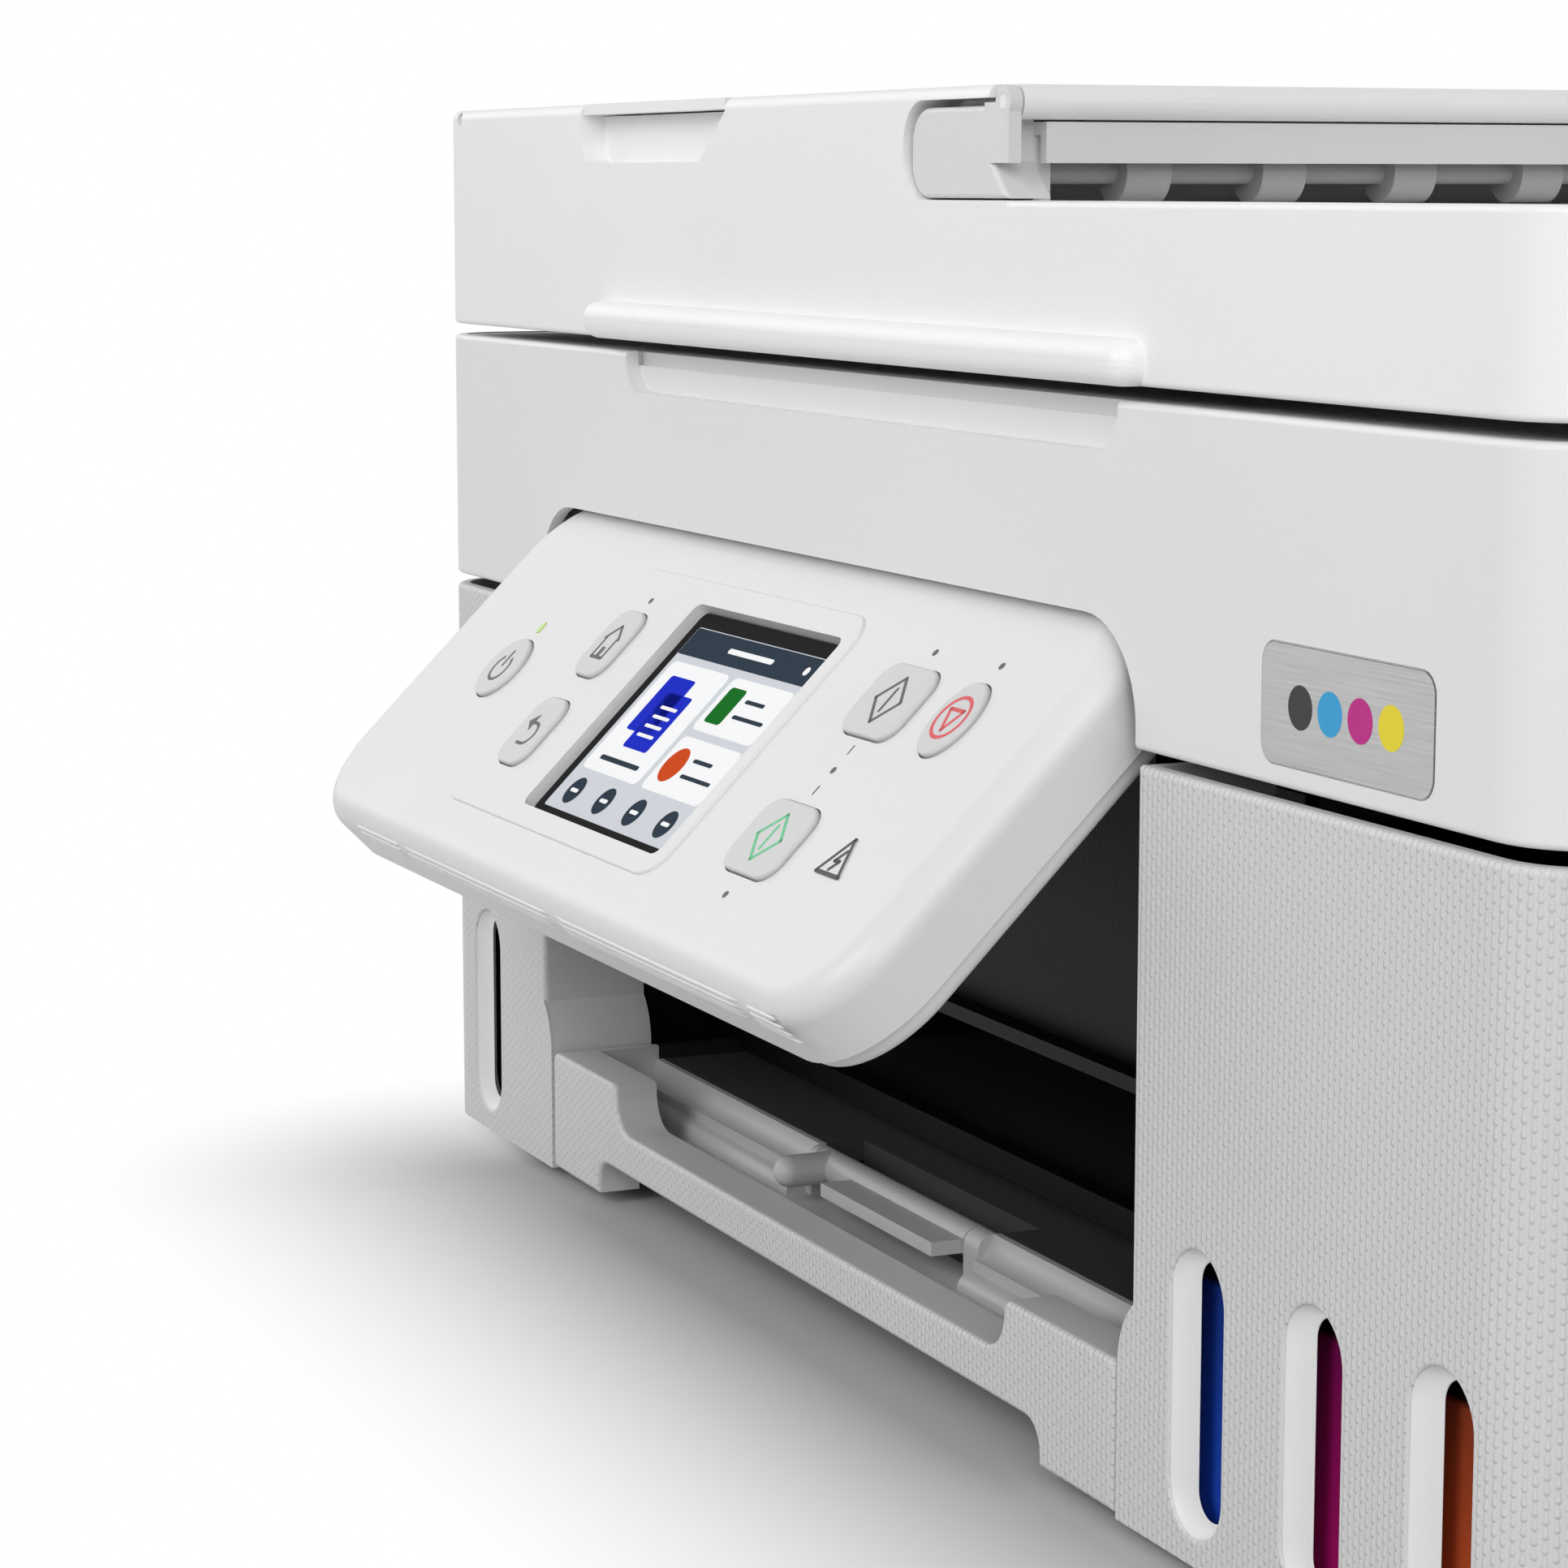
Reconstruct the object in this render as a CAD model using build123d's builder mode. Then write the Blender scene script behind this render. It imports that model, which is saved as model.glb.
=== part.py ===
"""Ink-tank printer with a tilting control panel, a scanner unit and a document feeder.

Millimetres, +Z up, front towards -Y. The origin is on the floor, under the middle of the outline.
"""

import os
from math import cos, radians, sin

from build123d import *

os.makedirs("parts", exist_ok=True)

# Outer case
LEFT_TOWER = 61.5
RIGHT_TOWER = 105.5
BODY_DEPTH = 370.0
CORNER_R = 14.0
BOTTOM_R = 12.0
WALL = 2.5
EDGE_R = 1.0
FOOT_HEIGHT = 2.0
FOOT_R = 8.0
LOWER_HEIGHT = 115.7
SCANNER_GAP = 2.2
SCANNER_HEIGHT = 50.6
LID_GAP = 2.3
DECK_HEIGHT = 26.5
HUMP_HEIGHT = 44.2
UPPER_SETBACK = 12.0
LEDGE_IN = 6.0

# Paper bay between the towers
SHEET_WIDTH = 216.0
GUIDE_ROOM = 11.5
CASSETTE_SIDE = 5.0
CHEEK_DEPTH = 22.0
FLARE_WIDTH = 4.0
FLARE_TOP = 34.0
FLARE_BOTTOM = 24.5
BAY_FLOOR_SETBACK = 18.0
FLOOR_THICKNESS = 2.5
GUIDE_HEIGHT = 7.0

# Ink windows and tanks
WINDOW_WIDTH = 15.1
WINDOW_LOW = 4.2
WINDOW_HIGH = 47.4
WINDOW_DEPTH = 4.6
WINDOW_RIM = 2.0
WINDOW_EDGE_R = 0.6
TANK_GAP = 3.3
TANK_BAY_GAP = 5.1
TANK_SIDE_GAP = 8.0
BLACK_BAY_GAP = 15.1
BLACK_SIDE_GAP = 8.4
TANK_DEPTH = 88.0
TANK_HEIGHT = 70.0
TANK_EDGE_R = 2.5
NECK_R = 7.0
NECK_HEIGHT = 7.0
NECK_WALL = 2.0
NECK_BORE = 3.0
NECK_SETBACK = 40.0
CAP_R = 9.0
CAP_HEIGHT = 6.0
CAP_ARM = 26.0
CAP_ARM_WIDTH = 8.0
CAP_PIN_R = 1.5
CAP_BARREL_R = 3.2
CAP_EAR = 3.0

# Control panel; places on it run down from its hinge axis, and across from its middle or, for the
# outer keys and lamps, in from the nearer end
PANEL_TILT = 45.0
PANEL_SIDE_GAP = 4.5
PANEL_DROP = 77.5
PANEL_RISE = 6.0
PANEL_HINGE_DEPTH = 8.0
PANEL_HINGE_HEIGHT = 129.6
PANEL_DEPTH = 13.4
PANEL_BACK_DEPTH = 3.5
PANEL_BACK_INSET = 1.2
PANEL_EDGE_R = 5.0
PANEL_CORNER_R = 18.0
PANEL_WALL = 2.2
PANEL_ARM_SPACING = 140.0
PANEL_ARM_WIDTH = 8.0
PANEL_EYE_R = 4.0
PANEL_EAR = 3.0
PAD_X = (-58.0, 42.4)
PAD_DROP = (8.5, 65.7)
PAD_RAISE = 0.5
PAD_CORNER_R = 6.0
PAD_EDGE_R = 0.4
DISPLAY_X = (-23.4, 38.7)
DISPLAY_DROP = (13.7, 61.5)
DISPLAY_CORNER_R = 2.0
DISPLAY_SINK = 2.1
DISPLAY_FRAME = 4.0
DISPLAY_THICKNESS = 3.6
KEY_RAISE = 0.8
KEY_TRAVEL = 0.8
KEY_GAP = 0.3
KEY_FLANGE = 1.0
KEY_FLANGE_THICKNESS = 1.2
KEY_EDGE_R = 0.4
POWER_AT = (40.3, 37.3)
POWER_DIAMETER = 14.2
HOME_AT = (-42.6, 26.6)
BACK_AT = (-42.6, 48.0)
MENU_KEY_SIZE = (12.6, 15.6)
START_BLACK_AT = (50.4, 22.8)
START_COLOUR_AT = (50.4, 51.7)
START_KEY_SIZE = (18.6, 14.6)
KEY_CORNER_R = 4.2
STOP_AT = (27.9, 22.9)
STOP_RADII = (5.8, 7.4)
POWER_LAMP_AT = (40.6, 26.8)
POWER_LAMP_SIZE = (1.5, 2.8)
ALARM_LAMP_AT = (26.4, 51.6)
ALARM_LAMP_R = 5.4
ALARM_CORNER_R = 0.8
LAMP_RAISE = 0.2
LAMP_FLANGE = 0.6

# Scanner unit
NOTCH_INSET = 0.8
NOTCH_TOP = 136.7
NOTCH_CORNER_R = 16.0
SCANNER_FLOOR_RISE = 25.0
FINGER_X = -2.0
FINGER_WIDTH = 194.0
FINGER_HEIGHT = 7.5
FINGER_DEPTH = 3.0
FINGER_R = 6.0
BADGE_INSET = 48.9
BADGE_HEIGHT = 129.5
BADGE_SIZE = (43.0, 16.6)
BADGE_CORNER_R = 3.0
BADGE_THICKNESS = 0.6
BADGE_SINK = 0.5
TOP_THICKNESS = 2.5
TOP_SINK = 0.2
TOP_LEDGE = 4.0
GLASS_SIZE = (340.0, 227.0)
GLASS_THICKNESS = 1.7
GLASS_LEDGE = 5.0
SENSOR_HOME_INSET = 15.0
SENSOR_END_INSET = 25.0
SENSOR_SIZE = (18.0, 232.0, 14.0)
SENSOR_RAIL_WIDTH = 8.0
SENSOR_RAIL_HEIGHT = 3.5

# Document cover and feeder
LID_WALL = 8.0
HUMP_RIGHT = 59.0
HUMP_TOP_R = 10.0
HUMP_EDGE_R = 2.0
DECK_FLOOR_RISE = 13.2
RIB_POCKET_DEPTH = 10.0
RIB_THICKNESS = 3.0
RIB_COLUMN_COUNT = 5
RIB_ROW_COUNT = 4
PAD_REVEAL = 2.1
HANDLE_X = -4.0
HANDLE_WIDTH = 214.0
HANDLE_HEIGHT = 7.0
HANDLE_REACH = 5.0
HANDLE_R = 3.0
HANDLE_END_R = 3.5
GRIP_LEFT = -121.9
GRIP_RIGHT = -51.0
GRIP_SLANT = 12.0
GRIP_HEIGHT = 9.2
GRIP_DEPTH = 5.0
GRIP_R = 4.0
COVER_THICKNESS = 3.6
COVER_INSET = 12.6
COVER_RIGHT = -45.0
COVER_PIVOT_IN = 3.0
COVER_PIN_R = 1.3
LIP_THICKNESS = 2.0
CUTOUT_WIDTH = 36.9
CUTOUT_R = 7.0
BAND_INSET = 6.4
CHEEK_GAP = 1.4
CHEEK_DROP = 3.2
CHEEK_INSET = 7.4
CHEEK_FLARE = 6.0
CHEEK_EDGE_R = 0.8
FRAME_SINK = 0.8
TRAY_SEAM = 1.0
TRAY_BARREL_R = 2.7
TRAY_PIN_R = 1.2
TRAY_PIVOT_INSET = 3.2
BRACKET_THICKNESS = 2.2
BRACKET_REACH = 2.0
BRACKET_EYE_R = 2.5
BEAM_HEIGHT = 6.3
BEAM_THICKNESS = 2.0
BEAM_REACH = (7.0, 9.0)
ROLLER_ROOM = 0.5
SHELF_DROP = 5.8
SHELF_REACH = (19.0, 3.0)
SHELF_RIB = 1.4
ROLLER_PITCH = 24.6
ROLLER_COUNT = 12
ROLLER_FIRST = 28.7
EXIT_DISC_R = 5.0
EXIT_DISC_WIDTH = 8.0
EXIT_SHAFT_R = 2.0
EXIT_INSET = 12.0
EXIT_DROP = 13.2
PICKUP_X = 0.0
PICKUP_DROP = 15.5
PICKUP_R = 9.0
PICKUP_WIDTH = 34.0
PICKUP_SHAFT_R = 3.0
FEEDER_PLATE = 3.0

# Cassette and output basin
CASSETTE_LENGTH = 318.0
CASSETTE_WALL = 2.0
CASSETTE_HEIGHT = 24.5
CASSETTE_LIFT = 0.6
LIP_HEIGHT = 15.5
LIP_SHOULDERS = (34.0, 37.0)
LIP_R = 7.0
SHOULDER_R = 1.5
HAND_RECESS_INSET = 24.5
HAND_RECESS_HEIGHT = 7.5
HAND_RECESS_R = 5.0
FRONT_THICKNESS = 9.0
TRAY_COVER_LENGTH = 150.0
TRAY_COVER_THICKNESS = 2.0
BASIN_HEIGHT = 12.5
BASIN_RAMP = 3.0
BOWL_R = 3.0
LIP_STEP = 1.0
COVER_FALL = 1.5
RIDGE_HEIGHT = 21.5
RIDGE_SETBACK = 22.0
RIDGE_R = 4.0
RIDGE_GAP = (-36.0, 36.0)
SUPPORT_BAR_R = 3.0
SUPPORT_REACH = (-33.0, 30.0)
SUPPORT_FOOT = 9.0
SUPPORT_PADDLE = (-16.0, 30.0)
SUPPORT_PADDLE_LENGTH = 9.0
SUPPORT_PIN_R = 1.5
SUPPORT_PIN_IN = 3.0
GUIDE_SIZE = (36.0, 70.0, 12.0)
GUIDE_THICKNESS = 1.6
GUIDE_SETBACK = 180.0

# Print mechanism
FRAME_PLATE = 2.5
TUNNEL_HEIGHT = 56.0
TUNNEL_END = 176.0
FRONT_PANEL_SETBACK = 27.0
MECH_BACK = 262.0
MECH_TOP = 110.0
REAR_PLATE_BOTTOM = 38.0
POST_INSET = 58.0
POST_WIDTH = 12.0
POST_EYE_R = 4.5
RAIL_INSET = 36.0
RAIL_HEIGHT = 82.0
RAIL_FLANGE = 14.0
RAIL_THICKNESS = 2.0
RAIL_WEB_HEIGHT = 24.0
CARRIAGE_INSET = 68.0
CARRIAGE_SIZE = (72.0, 62.0, 44.0)
CARRIAGE_BOTTOM = 62.0
CARRIAGE_WALL = 2.5
HEAD_SIZE = (30.0, 38.0, 34.0)
HEAD_NOZZLE = (18.0, 30.0, 3.5)
HEAD_SLOT_GAP = 0.5
PULLEY_INSET = 22.0
PULLEY_R = 6.0
PULLEY_HEIGHT = 7.0
PULLEY_LEVEL = 90.0
PULLEY_SETBACK = 10.0
PULLEY_SHAFT_R = 2.0
BELT_THICKNESS = 1.2
BELT_HEIGHT = 5.0
MOTOR_R = 9.0
MOTOR_HEIGHT = 26.0
FEED_SETBACK = 252.0
EXIT_SETBACK = 184.0
PATH_HEIGHT = 52.0
FEED_R = 7.0
EXIT_R = 6.0
SHAFT_R = 4.0
EXIT_TYRE_COUNT = 9
EXIT_TYRE_PITCH = 26.0
EXIT_TYRE_WIDTH = 9.0
PLATEN_SETBACK = (193.0, 243.0)
PLATEN_HEIGHT = (46.0, 57.0)
PLATEN_RIB_COUNT = 15
PLATEN_RIB = (1.6, 2.0)
PURGE_BAY_GAP = 9.5
PURGE_SIDE_GAP = 18.0
PURGE_HEIGHT = 57.0
PURGE_CAP = (22.0, 34.0, 3.0)
BOARD_SIZE = (120.0, 1.6, 60.0)
CHIP_AT = (30.0, 20.0)
CHIP_SIZE = (30.0, 6.4, 24.0)
SUPPLY_SIZE = (42.0, 84.0, 60.0)
INLET_SIZE = (26.0, 20.0, 18.0)
INLET_WALL = 3.0
INLET_SOCKET = 10.0
INLET_DEPTH = 14.0
INLET_BAY_GAP = 28.5
INLET_HEIGHT = 34.0
VENT_HEIGHT = 83.3
VENT_PITCH = 7.0
VENT_COUNT = 13
VENT_SIZE = (22.0, 3.0)

# Hinge pins and clearances
PIN_R = 2.0
PIN_LENGTH = 24.0
EAR_THICKNESS = 4.0
LID_EYE_R = 3.4
RUN_CLEAR = 0.06
SEAT_GAP = 0.1
FIT_GAP = 0.3
SLIDE_GAP = 0.4
SEAM_GAP = 0.7

# Levels and places that follow
TILT_SIN = sin(radians(PANEL_TILT))
TILT_COS = cos(radians(PANEL_TILT))
PANEL_REACH = (
    (PANEL_HINGE_DEPTH - PANEL_EDGE_R) * TILT_COS
    + (PANEL_DROP - PANEL_EDGE_R) * TILT_SIN
    + PANEL_EDGE_R
    - PANEL_HINGE_DEPTH
)
FRONT = (PANEL_REACH - BODY_DEPTH) / 2
BACK = FRONT + BODY_DEPTH
BODY_Y = (FRONT + BACK) / 2
UPPER_BACK = BACK - UPPER_SETBACK
UPPER_Y = (FRONT + UPPER_BACK) / 2
UPPER_DEPTH = UPPER_BACK - FRONT
CASSETTE_WIDTH = SHEET_WIDTH + 2 * GUIDE_ROOM
BAY_WIDTH = CASSETTE_WIDTH + 2 * CASSETTE_SIDE
BODY_WIDTH = LEFT_TOWER + BAY_WIDTH + RIGHT_TOWER
HALF_WIDTH = BODY_WIDTH / 2
BAY_LEFT = LEFT_TOWER - HALF_WIDTH
BAY_RIGHT = HALF_WIDTH - RIGHT_TOWER
PAPER_X = (BAY_LEFT + BAY_RIGHT) / 2
TANK_WIDTH = (RIGHT_TOWER - TANK_BAY_GAP - TANK_SIDE_GAP - 2 * TANK_GAP) / 3
TANK_BLACK_WIDTH = LEFT_TOWER - BLACK_BAY_GAP - BLACK_SIDE_GAP
BLACK_X = BAY_LEFT - BLACK_BAY_GAP - TANK_BLACK_WIDTH / 2
CYAN_X = BAY_RIGHT + TANK_BAY_GAP + TANK_WIDTH / 2
MAGENTA_X = CYAN_X + TANK_WIDTH + TANK_GAP
YELLOW_X = MAGENTA_X + TANK_WIDTH + TANK_GAP
POST_X = HALF_WIDTH - POST_INSET
PANEL_WIDTH = BAY_WIDTH - 2 * PANEL_SIDE_GAP
Z_BASE = FOOT_HEIGHT
Z_FLOOR = Z_BASE + WALL
Z_BED = Z_FLOOR + FLOOR_THICKNESS
Z_LOWER_TOP = Z_BASE + LOWER_HEIGHT
Z_SCANNER = Z_LOWER_TOP + SCANNER_GAP
Z_SCANNER_TOP = Z_SCANNER + SCANNER_HEIGHT
Z_LID = Z_SCANNER_TOP + LID_GAP
Z_DECK = Z_LID + DECK_HEIGHT
Z_HUMP = Z_LID + HUMP_HEIGHT
SCANNER_AXIS_Z = Z_LOWER_TOP + SCANNER_GAP / 2
LID_AXIS_Z = Z_SCANNER_TOP + LID_GAP / 2
PANEL_AXIS_Z = Z_BASE + PANEL_HINGE_HEIGHT
PANEL_AXIS_Y = FRONT + PANEL_HINGE_DEPTH
LEDGE_Y = UPPER_BACK + POST_EYE_R + SEAM_GAP
front_plane = Plane.XZ.offset(-FRONT)
panel_normal = Axis((0, 0, 0), (0, -TILT_COS, TILT_SIN))
panel_plane = Plane((PAPER_X, PANEL_AXIS_Y, PANEL_AXIS_Z), x_dir=(1, 0, 0), z_dir=(0, -TILT_COS, TILT_SIN))


def slab(x, y, z, mode=Mode.ADD):
    """Box between the limits x, y and z, each a (low, high) pair, in the block at work."""
    with Locations(((x[0] + x[1]) / 2, (y[0] + y[1]) / 2, (z[0] + z[1]) / 2)):
        Box(x[1] - x[0], y[1] - y[0], z[1] - z[0], mode=mode)


def rod(centre, axis, radius, length, mode=Mode.ADD):
    """Cylinder about the axis X, Y or Z through its centre, in the block at work."""
    turn = {"X": (0, 90, 0), "Y": (90, 0, 0), "Z": (0, 0, 0)}[axis]
    with Locations(centre):
        Cylinder(radius, length, rotation=turn, mode=mode)


def case_block(inset):
    """Lower case as a solid drawn in by inset: rounded plan, both bottom side edges rounded."""
    width = BODY_WIDTH - 2 * inset
    with BuildPart() as block:
        with BuildSketch(Plane.XY.offset(Z_BASE + inset)):
            with Locations((0, BODY_Y)):
                RectangleRounded(width, BODY_DEPTH - 2 * inset, CORNER_R - inset)
        extrude(amount=LOWER_HEIGHT)
        with BuildSketch(Plane.XZ) as profile:
            with Locations((0, Z_BASE + inset)):
                Rectangle(width, 2 * LOWER_HEIGHT, align=(Align.CENTER, Align.MIN))
            fillet(profile.vertices().group_by(Axis.Y)[0], BOTTOM_R - inset)
        extrude(amount=BODY_DEPTH, both=True, mode=Mode.INTERSECT)
    return block.part


def upper_plan(inset):
    """Plan of the scanner unit and of the document cover, drawn in by inset."""
    with BuildSketch() as plan:
        with Locations((0, UPPER_Y)):
            RectangleRounded(BODY_WIDTH - 2 * inset, UPPER_DEPTH - 2 * inset, CORNER_R - inset)
    return plan.sketch


def case_room():
    """Room inside the lower case: open on top under the scanner unit, roofed by a ledge behind it."""
    with BuildPart() as room:
        add(case_block(WALL))
        roof = (Z_LOWER_TOP - WALL, 2 * Z_LOWER_TOP)
        slab((-HALF_WIDTH, HALF_WIDTH), (LEDGE_Y, BACK), roof, Mode.SUBTRACT)
    return room.part


def on_case(edge):
    """Whether an edge lies on the outer surface of the lower case's walls."""
    middle = edge @ 0.5
    across = HALF_WIDTH - abs(middle.X)
    along = BODY_DEPTH / 2 - abs(middle.Y - BODY_Y)
    if across < CORNER_R and along < CORNER_R:
        return (CORNER_R - across) ** 2 + (CORNER_R - along) ** 2 > (CORNER_R - WALL / 2) ** 2
    return min(across, along) < WALL / 2


def side_cover(bay, inner, window_places):
    """Tower and side wall on one side of the bay; inner is the cheek's far face, windows are cut in front."""
    side = 1 if bay > PAPER_X else -1
    away = sorted((bay, bay - side * BODY_WIDTH))
    with BuildPart() as cover:
        add(case_block(0))
        add(case_room(), mode=Mode.SUBTRACT)
        slab(away, (FRONT - WALL, BACK + WALL), (0, Z_LOWER_TOP + WALL), Mode.SUBTRACT)
        slab(sorted((bay, inner)), (FRONT, FRONT + CHEEK_DEPTH), (Z_BASE, Z_LOWER_TOP))
        with BuildSketch(front_plane):
            with BuildLine():
                foot = Polyline(
                    (bay, Z_BASE + FLARE_TOP),
                    (bay, Z_BASE),
                    (bay - side * FLARE_WIDTH, Z_BASE),
                    (bay - side * FLARE_WIDTH, Z_BASE + FLARE_BOTTOM),
                )
                TangentArc(foot @ 1, foot @ 0, tangent=(0, 1))
            make_face()
        extrude(amount=-CHEEK_DEPTH)
        with BuildSketch(front_plane.offset(-WALL / 2)):
            with Locations(*[(x, Z_BASE + (WINDOW_LOW + WINDOW_HIGH) / 2) for x in window_places]):
                SlotOverall(WINDOW_HIGH - WINDOW_LOW + 2 * WINDOW_RIM, WINDOW_WIDTH + 2 * WINDOW_RIM, 90)
        extrude(amount=WALL / 2 - WINDOW_DEPTH)
        with BuildSketch(front_plane):
            with Locations(*[(x, Z_BASE + (WINDOW_LOW + WINDOW_HIGH) / 2) for x in window_places]):
                SlotOverall(WINDOW_HIGH - WINDOW_LOW, WINDOW_WIDTH, 90)
        extrude(amount=-WINDOW_DEPTH, mode=Mode.SUBTRACT)
        front_edges = cover.edges().filter_by_position(Axis.Y, FRONT - EDGE_R / 2, FRONT + EDGE_R / 2)
        holes = [
            edge
            for edge in front_edges
            for x in window_places
            if abs(edge.center().X - x) < WINDOW_WIDTH and edge.center().Z < Z_BASE + WINDOW_HIGH + 1
            and edge.center().Z > Z_BASE + WINDOW_LOW - 1
        ]
        fillet(holes, WINDOW_EDGE_R)
        rim = cover.faces().filter_by(Axis.Z).sort_by(Axis.Z)[-1].edges()
        outside = [edge for edge in rim if on_case(edge)]
        near_front = (FRONT - EDGE_R / 2, FRONT + EDGE_R / 2)
        upright = cover.edges().filter_by(Axis.Z).filter_by_position(Axis.Y, *near_front)
        mouth = [edge for edge in upright if abs(edge.center().X - bay) < EDGE_R]
        fillet(outside + mouth, EDGE_R)
    return cover.part


# Lower case
with BuildPart() as left_side_cover:
    add(side_cover(BAY_LEFT, BAY_LEFT - WALL, [BLACK_X]))
left_side_cover.part.label = "left_side_cover"
export_step(left_side_cover.part, "parts/left_side_cover.step")

with BuildPart() as right_side_cover:
    add(side_cover(BAY_RIGHT, BAY_RIGHT + WALL, [CYAN_X, MAGENTA_X, YELLOW_X]))
right_side_cover.part.label = "right_side_cover"
export_step(right_side_cover.part, "parts/right_side_cover.step")

FLOOR_HALF = HALF_WIDTH - CORNER_R - SEAM_GAP
FLOOR_FRONT = FRONT + CHEEK_DEPTH + SEAM_GAP
TOWER_FLOOR_FRONT = FRONT + WINDOW_DEPTH + FIT_GAP
with BuildPart() as base_tub:
    bed = (Z_FLOOR, Z_BED)
    slab((-FLOOR_HALF, FLOOR_HALF), (FLOOR_FRONT, BACK - WALL), bed)
    flare_in = BAY_WIDTH / 2 - FLARE_WIDTH - SEAM_GAP
    slab((PAPER_X - flare_in, PAPER_X + flare_in), (FRONT + BAY_FLOOR_SETBACK, FLOOR_FRONT), bed)
    slab((-FLOOR_HALF, BAY_LEFT - WALL - SEAM_GAP), (TOWER_FLOOR_FRONT, FLOOR_FRONT), bed)
    slab((BAY_RIGHT + WALL + SEAM_GAP, FLOOR_HALF), (TOWER_FLOOR_FRONT, FLOOR_FRONT), bed)
    guide_in = CASSETTE_WIDTH / 2 + SEAM_GAP
    guide_out = BAY_WIDTH / 2 - SEAM_GAP
    guide_y = (FRONT + CHEEK_DEPTH + SEAM_GAP, FRONT + CASSETTE_LENGTH)
    slab((PAPER_X - guide_out, PAPER_X - guide_in), guide_y, (Z_BED, Z_BED + GUIDE_HEIGHT))
    slab((PAPER_X + guide_in, PAPER_X + guide_out), guide_y, (Z_BED, Z_BED + GUIDE_HEIGHT))
base_tub.part.label = "base_tub"
export_step(base_tub.part, "parts/base_tub.step")

FOOT_X = BAY_WIDTH / 2 - 3 * FOOT_R
FOOT_Y = BODY_DEPTH - 7 * FOOT_R
with BuildPart() as feet:
    with BuildSketch():
        with Locations((PAPER_X, BODY_Y)):
            with GridLocations(2 * FOOT_X, FOOT_Y, 2, 2):
                Circle(FOOT_R)
    extrude(amount=Z_FLOOR)
    chamfer(feet.edges().group_by(Axis.Z)[0], FOOT_HEIGHT / 4)
feet.part.label = "feet"
export_step(feet.part, "parts/feet.step")

INLET_X = BAY_LEFT + INLET_BAY_GAP
INLET_Z = Z_BASE + INLET_HEIGHT
with BuildPart() as rear_cover:
    slab(
        (BAY_LEFT + FIT_GAP, BAY_RIGHT - FIT_GAP),
        (BACK - WALL, BACK),
        (Z_BASE, Z_LOWER_TOP),
    )
    ledge_z = (Z_LOWER_TOP - WALL, Z_LOWER_TOP)
    slab((BAY_LEFT + FIT_GAP, BAY_RIGHT - FIT_GAP), (LEDGE_Y, BACK), ledge_z)
    past_hinge = -POST_X + PIN_LENGTH / 2 + SEAM_GAP
    slab((past_hinge, BAY_RIGHT - FIT_GAP), (UPPER_BACK - LEDGE_IN, BACK), ledge_z)
    slab(
        (INLET_X - INLET_SIZE[0] / 2, INLET_X + INLET_SIZE[0] / 2),
        (BACK - 2 * WALL, BACK + WALL),
        (INLET_Z - INLET_SIZE[2] / 2, INLET_Z + INLET_SIZE[2] / 2),
        Mode.SUBTRACT,
    )
    with BuildSketch(Plane.XZ.offset(-BACK)):
        with Locations((PAPER_X, Z_BASE + VENT_HEIGHT)):
            with GridLocations(VENT_PITCH, 0, VENT_COUNT, 1):
                SlotOverall(*VENT_SIZE, 90)
    extrude(amount=WALL, both=True, mode=Mode.SUBTRACT)
rear_cover.part.label = "rear_cover"
export_step(rear_cover.part, "parts/rear_cover.step")

with BuildPart() as power_inlet:
    slab(
        (INLET_X - INLET_SIZE[0] / 2, INLET_X + INLET_SIZE[0] / 2),
        (BACK - INLET_SIZE[1], BACK),
        (INLET_Z - INLET_SIZE[2] / 2, INLET_Z + INLET_SIZE[2] / 2),
    )
    with BuildSketch(Plane.XZ.offset(-BACK)):
        with Locations((INLET_X, INLET_Z)):
            SlotOverall(INLET_SIZE[0] - 2 * INLET_WALL, INLET_SOCKET)
    extrude(amount=INLET_DEPTH, mode=Mode.SUBTRACT)
power_inlet.part.label = "power_inlet"
export_step(power_inlet.part, "parts/power_inlet.step")

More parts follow.
